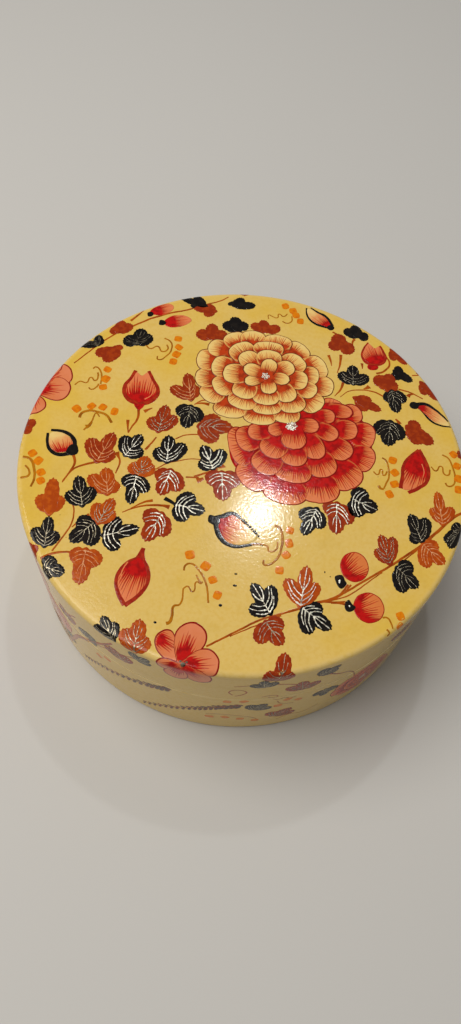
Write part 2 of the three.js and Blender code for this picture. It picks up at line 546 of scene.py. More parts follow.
stroke_tree, *stroke_ends = painting_tree("Painted strokes", [
    ("INPUT", "Step", "Float", 0.0004),
    ("INPUT", "Flatness", "Float", 0.1),
    ("INPUT", "Lift", "Float", 0.0),
    ("INPUT", "Beads", "Float", 0.0),
    ("INPUT", "Bead size", "Float", 0.0007),
    ("INPUT", "Sides", "Int", 10),
])
calc = math_in(stroke_tree)
wanted = stroke_ends[0].outputs
steps = place(stroke_tree, "GeometryNodeResampleCurve", {
    "Curve": wanted["Geometry"], "Length": wanted["Step"]}, mode="LENGTH")
tip = place(stroke_tree, "GeometryNodeCurvePrimitiveCircle", {"Resolution": wanted["Sides"], "Radius": 1.0})
bead_scale = calc("DIVIDE", 1.0, wanted["Bead size"])
beading = place(stroke_tree, "ShaderNodeTexNoise", {"Scale": bead_scale, "Detail": 1.0}).outputs["Fac"]
beading = calc("MULTIPLY", calc("MULTIPLY_ADD", beading, BEAD_CONTRAST, -BEAD_CONTRAST / 2), wanted["Beads"])
beading = calc("MAXIMUM", calc("ADD", beading, 1.0), THINNEST_BEAD)
brush_width = calc("MULTIPLY", place(stroke_tree, "GeometryNodeInputRadius").outputs[0], beading)
tubes = place(stroke_tree, "GeometryNodeCurveToMesh", {
    "Curve": steps.outputs[0], "Profile Curve": tip.outputs[0], "Scale": brush_width, "Fill Caps": True})
tube_at = split(stroke_tree, place(stroke_tree, "GeometryNodeInputPosition").outputs[0])
low = calc("MULTIPLY_ADD", tube_at["Z"], wanted["Flatness"], wanted["Lift"])
pressed_at = joined(stroke_tree, tube_at["X"], tube_at["Y"], low)
pressed = place(
    stroke_tree, "GeometryNodeSetPosition", {"Geometry": tubes.outputs[0], "Position": pressed_at})
finish_tree(stroke_tree, stroke_ends, pressed.outputs[0])


def laid_on(name, data, tree, **values):
    """Runs one painting tree over a mesh or curve and returns the result as an object with a plain mesh."""
    source = bpy.data.objects.new(name + " marks", data)
    bpy.context.scene.collection.objects.link(source)
    modifier = source.modifiers.new("painting", "NODES")
    modifier.node_group = tree
    for socket in tree.interface.items_tree:
        key = socket.name.replace(" ", "_").lower()
        if socket.in_out == "INPUT" and key in values:
            modifier[socket.identifier] = values[key]
    mesh = bpy.data.meshes.new_from_object(source.evaluated_get(bpy.context.evaluated_depsgraph_get()))
    bpy.data.objects.remove(source)
    result = bpy.data.objects.new(name, mesh)
    bpy.context.scene.collection.objects.link(result)
    return result


def strokes(name, paint, lines, on_side=False, lift=0.0, flatness=0.1, wider=1.0, **brush):
    """Brush lines. Each is (width at start, width at end, points), all in millimetres on the chart."""
    curve = bpy.data.curves.new(name, "CURVE")
    curve.dimensions = "3D"
    for start_width, end_width, points in lines:
        spline = curve.splines.new("BEZIER")
        spline.bezier_points.add(len(points) - 1)
        for number, (knot, (px, py)) in enumerate(zip(spline.bezier_points, points)):
            knot.co = (px * MM, py * MM, 0.0)
            knot.handle_left_type = knot.handle_right_type = "AUTO"
            share = number / (len(points) - 1)
            knot.radius = MM / 2 * wider * (start_width + (end_width - start_width) * share)
    return laid_on(
        name, curve, stroke_tree, paint=paint, on_the_side=on_side, lift=lift, flatness=flatness, **brush)


def smooth_loop(points, samples):
    """A closed smooth curve through the given points, running anticlockwise."""
    points = [Vector(point) for point in points]
    count = len(points)
    if sum(points[i - 1].cross(points[i]) for i in range(count)) < 0:
        points.reverse()
    loop = []
    for i in range(count):
        a, b, c, d = (points[(i + k) % count] for k in (-1, 0, 1, 2))
        for step in range(samples):
            t = step / samples
            pull = (2 * a - 5 * b + 4 * c - d) * t * t + (3 * b - a - 3 * c + d) * t ** 3
            loop.append((2 * b + (c - a) * t + pull) / 2)
    return loop


def patch_mesh(name, shapes, rings, scale=1.0, samples=6, thickness=PAINT_THICKNESS, sized=False):
    """Flat closed patches of paint with a sloping edge. Each shape is (outline, base, tip, lift).

    Each patch carries, for its shader, how far along and across it a point lies and how far from the edge.
    """
    vertices, faces, sizes = [], [], []
    marks = {"along": [], "across": [], "rim": [], "seed": []}
    for number, (outline, base, tip, lift) in enumerate(shapes):
        loop = [point * scale for point in smooth_loop(outline, samples)]
        base, tip = Vector(base) * scale, Vector(tip) * scale
        centre = sum(loop, Vector((0, 0))) / len(loop)
        axis = (tip - base).normalized()
        side = Vector((axis.y, -axis.x))
        half = max(abs((point - base).dot(side)) for point in loop)
        layers = [([centre], lift + thickness, 1.0)]
        for share in [PAINT_EDGE_STARTS * ring / (rings - 1) for ring in range(1, rings)] + [1.0]:
            ring_points = [centre + (point - centre) * share for point in loop]
            height = thickness * (PAINT_EDGE_THICKNESS if share == 1.0 else 1.0)
            layers.append((ring_points, lift + height, 1.0 - share))
        layers += [(loop, lift - PAINT_ROOT, 0.0), ([centre], lift - PAINT_ROOT, 0.0)]
        count, start = len(loop), len(vertices)
        for points, height, edge in layers:
            for point in points:
                vertices.append((point.x, point.y, height))
                marks["along"].append((point - base).dot(axis) / (tip - base).length)
                marks["across"].append((point - base).dot(side) / half)
                marks["rim"].append(edge)
                marks["seed"].append(number * SEED_STEP)
                sizes += [2 * half, (tip - base).length, 1.0]
        for step in range(count):
            after = (step + 1) % count
            faces.append((start, start + 1 + step, start + 1 + after))
            for ring in range(rings):
                a, b = start + 1 + ring * count, start + 1 + (ring + 1) * count
                faces.append((a + step, b + step, b + after, a + after))
            last = start + 1 + rings * count
            faces.append((last + count, last + after, last + step))
    mesh = bpy.data.meshes.new(name)
    mesh.from_pydata(vertices, [], faces)
    for key, values in marks.items():
        if key != "seed" or sized:
            mesh.attributes.new(key, "FLOAT", "POINT").data.foreach_set("value", values)
    if sized:
        mesh.attributes.new("size", "FLOAT_VECTOR", "POINT").data.foreach_set("vector", sizes)
    return mesh


def patches(name, paint, shapes, on_side=False, rings=8):
    """Patches of paint, each with its own outline in millimetres on the chart. Lifts are in metres."""
    mesh = patch_mesh(name, shapes, rings, scale=MM, sized=True)
    return laid_on(name, mesh, patch_tree, paint=paint, on_the_side=on_side)


def raised(shapes, lift):
    """Patches given as (outline, base, tip), all painted at one lift."""
    return [(*shape, lift) for shape in shapes]


def spot(centre, radius_x, radius_y, tip):
    """A round patch about a centre, its shading running towards the tip."""
    turns = [number * math.pi / 4 for number in range(8)]
    ring = [(centre[0] + radius_x * math.cos(turn), centre[1] + radius_y * math.sin(turn)) for turn in turns]
    opposite = (2 * centre[0] - tip[0], 2 * centre[1] - tip[1])
    return (ring, opposite, tip)


def dab_shape(name, outline, base=(0, 0), tip=(0, 1), rings=8, samples=3, thickness=PAINT_THICKNESS):
    """One dab, of unit width and length, that the dab tree repeats. It is never rendered itself."""
    shape = bpy.data.objects.new(name, patch_mesh(
        name, [(outline, base, tip, 0.0)], rings, samples=samples, thickness=thickness))
    bpy.context.scene.collection.objects.link(shape)
    return shape


def dabs(name, paint, dab, spots, on_side=False, fineness=0):
    """One dab repeated. Each spot is (base, tip, width) in millimetres on the chart and a lift in metres."""
    mesh = bpy.data.meshes.new(name)
    mesh.from_pydata([(base[0] * MM, base[1] * MM, lift) for base, tip, width, lift in spots], [], [])
    turns, sizes, seeds = [], [], []
    for number, (base, tip, width, lift) in enumerate(spots):
        turns.append(math.atan2(tip[1] - base[1], tip[0] - base[0]) - math.pi / 2)
        sizes += [width * MM, math.dist(base, tip) * MM, 1.0]
        seeds.append(number * SEED_STEP)
    for key, kind, field, values in (
        ("turn", "FLOAT", "value", turns),
        ("size", "FLOAT_VECTOR", "vector", sizes),
        ("seed", "FLOAT", "value", seeds),
    ):
        mesh.attributes.new(key, kind, "POINT").data.foreach_set(field, values)
    return laid_on(name, mesh, dab_tree, dab=dab, paint=paint, on_the_side=on_side, fineness=fineness)


def part_of(source, name, above):
    """The part of painted marks above or below the seam, cut clear of its lips and closed again."""
    bm = bmesh.new()
    bm.from_mesh(source.data)
    height = seam_height + (SEAM_GAP if above else -SEAM_GAP)
    bmesh.ops.bisect_plane(
        bm, geom=bm.verts[:] + bm.edges[:] + bm.faces[:], plane_co=(0, 0, height), plane_no=(0, 0, 1),
        clear_inner=above, clear_outer=not above)
    bmesh.ops.holes_fill(bm, edges=[edge for edge in bm.edges if edge.is_boundary])
    mesh = source.data.copy()
    bm.to_mesh(mesh)
    bm.free()
    part = bpy.data.objects.new(name, mesh)
    bpy.context.scene.collection.objects.link(part)
    return part


def hang(name, top_marks, side_marks=()):
    """Joins the marks of one paint into one piece for the lid and one for the base."""
    for body, above in (("lid", True), ("base", False)):
        sheets = list(top_marks) if above else []
        sheets += [part_of(marks, marks.name + body, above) for marks in side_marks]
        sheets = [sheet for sheet in sheets if len(sheet.data.vertices)]
        if not sheets:
            continue
        if len(sheets) > 1:
            with bpy.context.temp_override(active_object=sheets[0], selected_editable_objects=sheets):
                bpy.ops.object.join()
        whole = sheets[0]
        whole.name = whole.data.name = body + "_" + name
        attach(whole, body)
    for source in side_marks:
        bpy.data.objects.remove(source)


PAINT_ROUGHNESS = 0.11
DRY_FROM, DRY_TO = 0.42, 0.68


def plain_paint(name, thick, thin, streak_size):
    """One colour of paint, paler where the brush was running dry."""
    material, tree, shader = lacquered(name, PAINT_ROUGHNESS)
    dryness = ramped(tree, cloudy(tree, position_in(tree), streak_size, 3.0), DRY_FROM, DRY_TO)
    tree.links.new(blended(tree, dryness, thick, thin), shader.inputs["Base Color"])
    return material


lobe_outline = [
    (0, -0.05), (0.2, 0.0), (0.38, 0.1), (0.5, 0.23), (0.51, 0.35), (0.55, 0.47), (0.5, 0.58), (0.51, 0.69),
    (0.44, 0.77), (0.41, 0.86), (0.29, 0.9), (0.19, 0.96), (0.08, 0.95), (-0.02, 1.01), (-0.13, 0.95),
    (-0.25, 0.95), (-0.32, 0.87), (-0.43, 0.84), (-0.44, 0.75), (-0.52, 0.66), (-0.49, 0.57), (-0.55, 0.46),
    (-0.51, 0.35), (-0.49, 0.22), (-0.37, 0.09), (-0.19, 0.0),
]
lobe_dab = dab_shape("lobe dab", lobe_outline, rings=7, samples=2)


def on_side(degrees, depth):
    """A point of the side's chart, from its angle off the front and its depth below the lid's top."""
    return (math.radians(degrees) * ground_radius / MM, lid_top / MM - depth)


def side_line(*places):
    """Several points of the side's chart, each given as (degrees, depth)."""
    return [on_side(*each) for each in places]


# Stems and tendrils: long lines of thin brown paint, drawn first with a pointed brush that is pressed
# where a twig starts and lifted to a hair at its end. Each is (width at start, width at end, points).
STEM_BROWN = srgb(176, 82, 4)
STEM_DARK = srgb(146, 58, 2)
TENDRIL_GOLD = srgb(184, 114, 6)
TENDRIL_DARK = srgb(150, 84, 2)
LINE_SHADE_SIZE = 0.004
line_paint = plain_paint("stem line", STEM_BROWN, STEM_DARK, LINE_SHADE_SIZE)
tendril_paint = plain_paint("tendril line", TENDRIL_GOLD, TENDRIL_DARK, LINE_SHADE_SIZE)
TOP_STEMS = [
    (0.55, 0.6, [(-5.7, -67.3), (0, -63.6), (5, -60.2), (10, -57), (15, -54.9), (22, -51.9)]),
    (0.3, 0.6, [(1, -63.5), (7, -60), (11, -58), (13.4, -56.3), (16, -55)]),
    (0.75, 0.85, [(18, -53.6), (22, -51.9), (25, -50.3), (31, -48.2)]),
    (0.6, 0.7, [
        (30, -48.4), (35, -45.4), (40, -41.6), (46, -37.1), (50, -34.1), (54, -30.8), (57.5, -27.8),
        (60.4, -25.4),
    ]),
    (0.4, 0.35, [(30.5, -48.6), (35.7, -46.5), (39.5, -43.7), (43.5, -40), (47, -37)]),
    (0.35, 0.5, [(53.5, -32.4), (56, -30), (58.6, -27.4), (60.4, -25.6)]),
    (0.9, 0.85, [(60, -26), (63, -22.5), (66, -19.3), (69, -16), (72, -13.3), (77, -10.6)]),
    (0.55, 0.6, [(29.6, -48.7), (33, -46.8), (36.3, -42.5)]),
    (0.4, 0.5, [(31.5, -48.2), (34.4, -46), (37.2, -42.4)]),
    (0.65, 0.5, [(29, -49), (32, -48.9), (35.6, -48.3)]),
    (0.5, 0.7, [(31, -49.2), (33.4, -49), (35.6, -49.2)]),
    (0.4, 0.7, [(-64, 33), (-60, 38.5), (-54, 46), (-50.5, 49.5), (-46, 53), (-40, 57.5)]),
    (0.7, 0.4, [(-40, 57.5), (-33, 61.3), (-27, 63.7), (-20, 67.5), (-14.4, 70.3), (-12, 72.5)]),
    (0.9, 0.3, [(-47, 55.5), (-44.5, 59), (-43, 61.5)]),
    (0.9, 0.35, [(-38.3, 17), (-38, 12), (-39.5, 8), (-40.3, 5.5)]),
    (1.0, 0.3, [(-41.2, 11), (-40.9, 8.6), (-40.3, 5.5)]),
    (1.3, 0.3, [(-36.2, 15.2), (-35, 16), (-33.6, 17)]),
    (0.4, 0.8, [(-30.5, 5), (-31.5, 3), (-33.5, -0.5)]),
    (0.7, 0.4, [(-42.5, -3.5), (-41.3, -6), (-42, -11)]),
    (1.6, 0.4, [(-42.9, -2.6), (-42.3, -3.8), (-41.4, -5.6)]),
    (0.8, 0.4, [(-49, -7.3), (-53, -9), (-56, -11), (-58.7, -16.5)]),
    (1.0, 0.3, [(-57.5, -4.6), (-56, -8.5), (-57, -12), (-58.7, -16)]),
    (0.4, 0.5, [(-57, -21.5), (-54, -24), (-52.7, -28), (-53, -32), (-55, -37), (-57, -41.5)]),
    (0.9, 0.35, [(-47.8, -27.2), (-50, -29.5), (-52.5, -32.5)]),
    (0.9, 0.5, [(-60, -44.5), (-57, -42.5), (-53, -41.4), (-49, -41.2)]),
    (0.3, 0.8, [(-37.5, -25.3), (-34.5, -23.5), (-30, -21.8), (-24, -21.2)]),
    (1.5, 0.5, [(-22.6, -21.6), (-23.8, -21.4), (-25.6, -21.3)]),
    (0.3, 0.9, [(-35, -23.5), (-31, -20.7), (-28.3, -19.7)]),
    (0.4, 0.5, [(-19.3, 20.3), (-17, 22.3), (-15.3, 22.8), (-12.4, 23.4)]),
    (0.4, 1.1, [(-19, 20.7), (-16.4, 21.3), (-14, 21)]),
    (0.4, 0.45, [(-24, 5.2), (-21, 7), (-16, 7.9), (-11, 7.4)]),
    (0.4, 0.3, [(-29, -7.8), (-25.5, -5), (-21.9, -3.6), (-17.8, -2.3), (-14.6, -2.1)]),
    (0.5, 0.6, [(-18.7, -9.6), (-16.2, -9.4), (-14.4, -9.2)]),
    (1.9, 0.9, [(-14.9, -10.6), (-13.8, -10.1), (-12.8, -9.4)]),
    (0.6, 0.9, [(-16, -9), (-10.5, -6.3), (-8.4, -5)]),
    (1.6, 0.5, [(-6.4, -3.4), (-7, -4), (-8.2, -4.8)]),
    (1.0, 0.4, [(36.8, 58), (36, 56.6), (36, 55)]),
    (0.5, 0.7, [(46.7, 55.5), (48.3, 51.5), (49.8, 48), (47.7, 44.1), (44.9, 42.6)]),
    (1.0, 0.3, [(39.6, 46.8), (39.7, 45.6), (39.8, 44.2)]),
    (1.0, 0.25, [(27.2, 49), (28, 46.6), (28.5, 44)]),
    (1.0, 0.25, [(31.8, 49.8), (31.5, 45), (30.6, 41)]),
    (1.0, 0.25, [(33, 37.5), (32, 33.5), (29.9, 30.4)]),
    (1.6, 0.4, [(42.4, 36.4), (41.6, 35.7), (40.3, 35)]),
    (0.25, 0.6, [(32, 30.3), (35, 33.3), (40, 34.5), (44, 34.2), (48.5, 32)]),
    (0.6, 0.4, [(53, 36.5), (57, 35.7), (61.7, 33.3)]),
    (1.5, 0.4, [(56.3, 33.6), (57, 34.6), (58.4, 35)]),
    (0.4, 0.7, [(58, 43.5), (60.5, 44.5), (59.5, 45)]),
    (1.4, 0.5, [(53.2, 21.2), (52.8, 22), (51.8, 23.2)]),
    (0.7, 0.4, [(28.4, 60.4), (30.2, 59.4), (32.2, 58)]),
]
TENDRILS = [
    (0.5, 0.4, [(-33.5, 48.9), (-31, 47.5), (-30.3, 44), (-31.5, 41), (-34.6, 38.7), (-35, 40.3)]),
    (0.4, 0.5, [
        (-42.3, 44.5), (-40, 44.8), (-38, 43.3), (-35.5, 44.7), (-33.5, 42.5), (-31.7, 43.8), (-32.2, 46),
    ]),
    (0.5, 0.5, [(-57, 31.5), (-56, 32.3), (-54.3, 31), (-53.3, 28.5), (-53.2, 25)]),
    (0.4, 0.5, [
        (-62, 23.5), (-60.5, 25.2), (-58, 25), (-57, 27.5), (-55.2, 26.3), (-54.5, 28.5), (-55, 30),
    ]),
    (0.4, 0.6, [(-57, 23), (-56, 22.3), (-54.3, 23.5), (-53.7, 25)]),
    (0.8, 0.7, [(-57.8, 9.8), (-57.5, 11.5), (-55, 13.2), (-52.5, 13), (-49, 12), (-46.5, 9)]),
    (0.5, 0.4, [(-55.5, 4.8), (-54.5, 6.5), (-53.3, 9), (-53, 11), (-52.5, 12.3), (-51, 11)]),
    (1.4, 0.5, [(-55, 6.2), (-53.9, 6.9), (-53.3, 8.6)]),
    (0.8, 0.6, [(-73.5, -8.3), (-71, -8.7), (-69, -12), (-68, -16), (-68.5, -19.3)]),
    (0.5, 0.7, [(-72, -11.5), (-70.5, -13), (-70, -15), (-72.5, -16.5)]),
    (0.3, 0.4, [(4, 63.5), (4, 65.5), (5.2, 65), (7.3, 64.5), (7.8, 66.5), (9.5, 65.5), (11, 67)]),
    (0.4, 0.4, [(12.7, 66), (12.7, 63.5), (11, 62.3), (9.3, 63)]),
    (0.5, 0.5, [(47, 6.2), (48.3, 5.3), (49.2, 2), (49.2, -1.5), (48.3, -4), (47.5, -6)]),
    (0.4, 0.5, [(44, 0.3), (45.5, -0.7), (46.7, 1.5), (47.5, -0.8), (48.7, 1)]),
    (0.8, 0.6, [(45.8, -5), (46.4, -6), (47.5, -6.3)]),
    (0.5, 0.5, [(67.8, 10.1), (69.7, 9), (71.3, 5), (71.8, 1), (70.8, -2), (69, -2.3), (68.5, -1.2)]),
    (0.4, 0.5, [(63.7, 4.7), (65.3, 3.2), (67.2, 5.3), (68.2, 2.3), (69.5, 2), (70.3, 4.3)]),
    (0.5, 0.5, [(-15.3, -43.5), (-15, -41.7), (-13.3, -40.8), (-10.5, -43), (-8, -47), (-6.5, -53.5)]),
    (0.9, 0.4, [(-18.5, -61.5), (-17.6, -61), (-17, -59), (-16.8, -55.5), (-15.3, -55), (-14.7, -49.5)]),
    (0.4, 0.4, [
        (-14.7, -49.5), (-13.5, -48.7), (-11.7, -50.3), (-10.8, -46.8), (-9.5, -47.3), (-9, -46.6),
    ]),
    (0.4, 0.5, [(-11.3, -44.5), (-10.4, -46), (-9.3, -47.2)]),
    (0.7, 0.5, [
        (12, -24.3), (13.7, -25), (14.7, -28), (14.7, -32), (13.5, -36), (11, -38.5), (9.5, -38.5),
        (9.3, -37),
    ]),
    (0.6, 0.4, [(5, -32), (7, -31.7), (10, -32), (11, -33.8), (13, -33), (13.3, -30)]),
    (0.5, 0.4, [(47, -52.3), (48.5, -52.2), (49.7, -54), (50.3, -55.5)]),
    (0.5, 0.4, [(48.3, -56), (49.3, -57), (48.8, -58)]),
]
SIDE_STEMS = [
    (0.9, 1.6, side_line((-27, 6), (-30, 13), (-34, 20))),
    (1.6, 1.9, side_line((-34, 20), (-37, 25), (-40, 30), (-44, 42), (-48, 55))),
    (0.5, 0.6, side_line((3, 19), (2, 16), (3.5, 13.5), (6, 15), (5.4, 18), (3.6, 20))),
    (0.5, 0.4, side_line((10, 21.5), (12.6, 20.5), (14, 22.3), (12.4, 23), (11.6, 22))),
    (0.8, 0.5, side_line((20, 15), (15, 10), (10, 8), (3, 10))),
    (0.9, 0.4, side_line((24, 7), (28, 14), (33, 20), (36, 33))),
    (0.7, 0.4, side_line((27, 31), (31, 34), (36, 38))),
    (0.7, 0.5, side_line((-19, 6), (-23, 10), (-27, 13), (-33, 20))),
    (0.8, 0.4, side_line((-39, 10), (-42, 15), (-44, 18), (-40, 28))),
]

# Leaves: each is three fat touches of a loaded round brush out of one point, near-black or russet,
# with gilt veins drawn over the dry paint in a size that stands up from it.
LEAF_BLACK = srgb(17, 13, 12)
LEAF_BLACK_THIN = srgb(29, 23, 19)
FAINT_LINE = srgb(104, 96, 78)
LEAF_RUSSET = srgb(145, 44, 8)
LEAF_RUSSET_THIN = srgb(165, 59, 10)
LEAF_ORANGE = srgb(172, 67, 6)
LEAF_ORANGE_THIN = srgb(192, 86, 12)
RUSSET_LINE = srgb(214, 132, 78)
RUSSET_LINE_PALE = srgb(232, 172, 124)
GILT_PALE = srgb(224, 218, 200)
GILT_RUBBED = srgb(142, 128, 106)
# The same gilt painted darker, as painted shade, for the veins away from the lamp.
SHADED_GILT = srgb(176, 166, 142)
SHADED_GILT_RUBBED = srgb(112, 98, 76)
GILT_RUB_SIZE = 0.00077
GILT_ROUGHNESS = 0.32
GILT_LIFT = 0.00003
LEAF_LIFT = 0.000006
LOBE_STEP = 0.000003
LOBE_BREADTH = 0.52
PLAIN_LOBE_BREADTH = 0.64
SIDE_LOBE_ROOT = 0.1
# Veins near this spot are drawn bold and bright as a painted highlight; the rest are fine and in the darker
# gilt, painted shade.
NEAR_THE_LAMP = (2, -22)
BOLD_ON_BLACK_WITHIN = 46.5
BOLD_ON_RUSSET_WITHIN = 36
BOLD_VEIN = 0.44
FINE_VEIN = 0.26
SIDE_VEIN = 0.36
FAINT_LINE_WIDTH = 0.34
RUSSET_LINE_WIDTH = 0.32

black_paint = plain_paint("leaf black", LEAF_BLACK, LEAF_BLACK_THIN, streak_size=0.0022)
russet_paint = plain_paint("leaf russet", LEAF_RUSSET, LEAF_RUSSET_THIN, streak_size=0.0016)
faint_paint = plain_paint("faint leaf line", FAINT_LINE, LEAF_BLACK_THIN, streak_size=0.0016)
orange_paint = plain_paint("leaf orange", LEAF_ORANGE, LEAF_ORANGE_THIN, streak_size=0.0016)
russet_line_paint = plain_paint("leaf russet line", RUSSET_LINE, RUSSET_LINE_PALE, streak_size=0.0012)


def gilt(name, bright, dull):
    """A pale metal powder on size, dull where it is rubbed."""
    material, tree, shader = lacquered(name, GILT_ROUGHNESS, metallic=1.0)
    rubbed = ramped(tree, cloudy(tree, position_in(tree), GILT_RUB_SIZE, 2.0), 0.5, 0.64)
    tree.links.new(blended(tree, rubbed, bright, dull), shader.inputs["Base Color"])
    return material


gilt_paint = gilt("gilt line", GILT_PALE, GILT_RUBBED)
shaded_gilt_paint = gilt("thin gilt line", SHADED_GILT, SHADED_GILT_RUBBED)

# Each leaf is (base, tip, tip of its left lobe, tip of its right lobe) and, for some, its own fullness.
BLACK_LEAVES = [
    ((-40, -3.8), (-35.5, 5.6), (-41.3, 4.6), (-33.8, -1.2)),
    ((-25.7, -4.8), (-26.3, 6.5), (-30.3, 0.6), (-20.2, 3.6)),
    ((-9.8, -5.5), (-14.5, 3.8), (-15.2, -2.8), (-7.2, 3)),
    ((-20.3, 19.8), (-21.2, 9.8), (-25, 15.4), (-16.3, 13.2), 0.62),
    ((-35, -10.6), (-35.5, -22.2), (-39.4, -14.8), (-30.4, -17)),
    ((-50.5, -24.6), (-54, -13.2), (-56.8, -20), (-48, -17)),
    ((-21, -20.3), (-10.8, -21.8), (-15, -15.8), (-17.2, -26.5)),
    ((-42.4, -34.4), (-31, -30.2), (-38.1, -27), (-36.8, -39), 0.4),
    ((-45.6, -29.8), (-52.2, -37.8), (-51.6, -30.6), (-45.4, -38.6), 0.56),
    ((-59.7, -40.5), (-60.3, -29.3), (-64.6, -34), (-56.2, -34.8)),
    ((-58.8, -47), (-51.6, -48.6), (-56, -43.4), (-55.4, -50.6), 0.66),
    ((-33.4, -69), (-37.8, -61), (-40.6, -64.6), (-33.8, -62.5)),
    ((12.8, -55), (6.2, -45.2), (5.8, -54), (12.4, -45.2), 0.42),
    ((22, -51.6), (31.5, -58), (28.8, -51.5), (24.8, -60.3)),
    ((51.5, -34.5), (58.3, -41.3), (57, -33.5), (53.5, -43.5)),
    ((60, -24.8), (56.3, -14.6), (55.8, -22.6), (61.6, -15.4)),
    ((73, -18), (68.5, -26), (67.3, -24), (70, -17)),
    ((25.6, -16.2), (21.3, -26.8), (19.6, -20.4), (27, -24), 0.6),
    ((36.8, -11.2), (45.6, -14.6), (41.6, -7.2), (39.4, -18.2), 0.62),
    ((50, 22.2), (49, 11.2), (44.4, 16.4), (54, 14.4), 0.62),
    ((50.4, 36), (52.4, 25.8), (49, 30), (55.6, 31), 0.72),
    ((36.7, 36.5), (36.1, 45.6), (31, 41.2), (42.2, 41)),
]

BLACK_LEAVES_PLAIN = [
    ((51.2, 45), (58.2, 40.6), (54.6, 46.2), (53, 40.6)), ((38.4, 58.8), (36.2, 65), (32.4, 62), (42, 60)),
    ((-6, 55.8), (-9.5, 62.7), (-13, 59), (-5, 61)), ((-10, 68), (-6, 72.5), (-10.5, 70.5), (-1.2, 69.5)),
    ((-19.5, 66.5), (-30, 69.5), (-25, 71.3), (-26, 66.2)),
    ((-43.5, 44.3), (-42, 52.5), (-48.3, 47), (-38, 49.5)),
    ((-57, 42), (-57.5, 47.3), (-64, 42), (-56.5, 46)),
]

RUSSET_LEAVES = [
    ((-30.3, 7.2), (-28.8, 19), (-34, 13), (-24.5, 14.6)),
    ((-17, 11.3), (-5, 12.5), (-9.5, 16), (-10, 5.5), 0.6),
    ((-34.6, -10.8), (-32.3, -3), (-37.2, -6), (-29.4, -6.6), 0.66),
    ((-23.8, -7.2), (-26.3, -17.6), (-28.4, -11.8), (-20, -15.4), 0.64),
    ((-7, -6), (-5.6, -17.3), (-11.6, -11), (-0.7, -10.5), 0.58),
    ((-44.8, -30.4), (-41, -20.3), (-46.2, -22.6), (-39.6, -25.2), 0.66),
    ((-24.6, -24), (-28.9, -34.9), (-30.8, -26.6), (-23.2, -32.8), 0.62),
    ((32, -13.3), (32, -25.2), (27.9, -17.5), (37, -20.8), 0.6),
    ((49.5, -34), (46.5, -23.4), (44.6, -29), (50.6, -23.8)),
    ((21.7, -51.8), (23.2, -37.3), (16.6, -42.5), (27, -43), 0.47),
    ((11.2, -57.4), (17, -64.6), (17.2, -58.2), (9.6, -64.8), 0.56),
    ((17, -78), (18, -66.5), (12, -74), (21.5, -73)),
    ((-27, -71.8), (-26.3, -60.8), (-31, -64.4), (-22.8, -66.6), 0.62),
]
RUSSET_LEAVES_LINED = [
    ((-20.6, 22), (-23.2, 34), (-28.6, 27), (-19.6, 29)),
    ((-49, -7.4), (-45, 5.2), (-53, 2), (-43.5, -2.4)),
    ((-43.2, -19.4), (-45.5, -8.9), (-50.6, -12.6), (-41.4, -13.6), 0.58),
    ((-46.6, -39.6), (-46.8, -52), (-51, -43.8), (-41.4, -44.6), 0.6),
    ((60, -25.3), (67, -32), (65.5, -26), (61, -34)),
    ((67, -17.8), (65.5, -4.8), (63.2, -11.5), (70.6, -10.5)),
]
RUSSET_LEAVES_PLAIN = [
    ((-60.5, -28.9), (-61.8, -15), (-65.4, -22), (-57.6, -21.5)),
    ((-49, 41), (-54, 35.2), (-57.6, 38.6), (-51, 43)), ((-51, 49), (-50, 55.5), (-53.7, 51), (-46, 53.7)),
    ((-15.8, 64.5), (-24.7, 65), (-20, 67.3), (-20.4, 62)),
    ((-16.6, 50.6), (-16.6, 58.4), (-22.2, 53.6), (-10.8, 54.4)),
    ((4, 56.7), (1.5, 62.7), (-2.5, 60), (8.7, 60)), ((50.2, 55), (56.2, 48.2), (55.2, 52.4), (51.4, 49.4)),
    ((46.6, 36.2), (51, 43), (46, 42.4), (53, 38.2), 0.66),
    ((33.8, 56.2), (27, 52.6), (28, 58), (35, 50.2), 0.7), ((61, 41), (67.3, 33.2), (66.4, 38), (62.4, 35)),
    ((36.8, 30.8), (46.8, 26), (41.6, 25.2), (43.4, 30), 0.74),
    ((55.6, 20.6), (65, 14), (60.6, 21.8), (60.6, 13.4)),
    ((-76, 2.4), (-72.4, 7), (-76.4, 8), (-72.6, 2.6)),
    ((-66, -44), (-61.5, -40.4), (-65, -39), (-61.6, -43.6)),
]
ORANGE_LEAF_BASES = [
    (-34.6, -10.8), (-44.8, -30.4), (-46.6, -39.6), (-43.2, -19.4), (-60.5, -28.9), (60, -25.3),
    (67, -17.8), (21.7, -51.8), (-27, -71.8),
]

SIDE_BLACK_LEAVES = [
    side_line((10, 11), (9.5, 4.2), (6.5, 8), (13, 6.5)),
    side_line((23, 9), (28, 4.5), (24, 3), (28, 9)),
    side_line((27, 29), (27.6, 37), (24, 33), (31, 34)),
    side_line((-21, 8), (-17, 3.4), (-21.5, 3), (-16.5, 7.4)),
    side_line((-37, 16), (-33, 22), (-38, 21), (-32.4, 17)),
    side_line((8, 36), (12, 30), (8, 30), (13.6, 35)),
]
SIDE_RUSSET_LEAVES = [
    side_line((20, 20), (19, 10.5), (15.6, 14), (24, 15)),
    side_line((-24, 17), (-28, 10), (-30, 13.5), (-22.5, 11)),
    side_line((-42, 22), (-46, 15), (-47.4, 20), (-41, 15)),
    side_line((14, 47), (19, 40), (14, 41), (20.6, 46)),
    side_line((46, 16), (50, 9), (45, 10), (51.6, 15)),
]

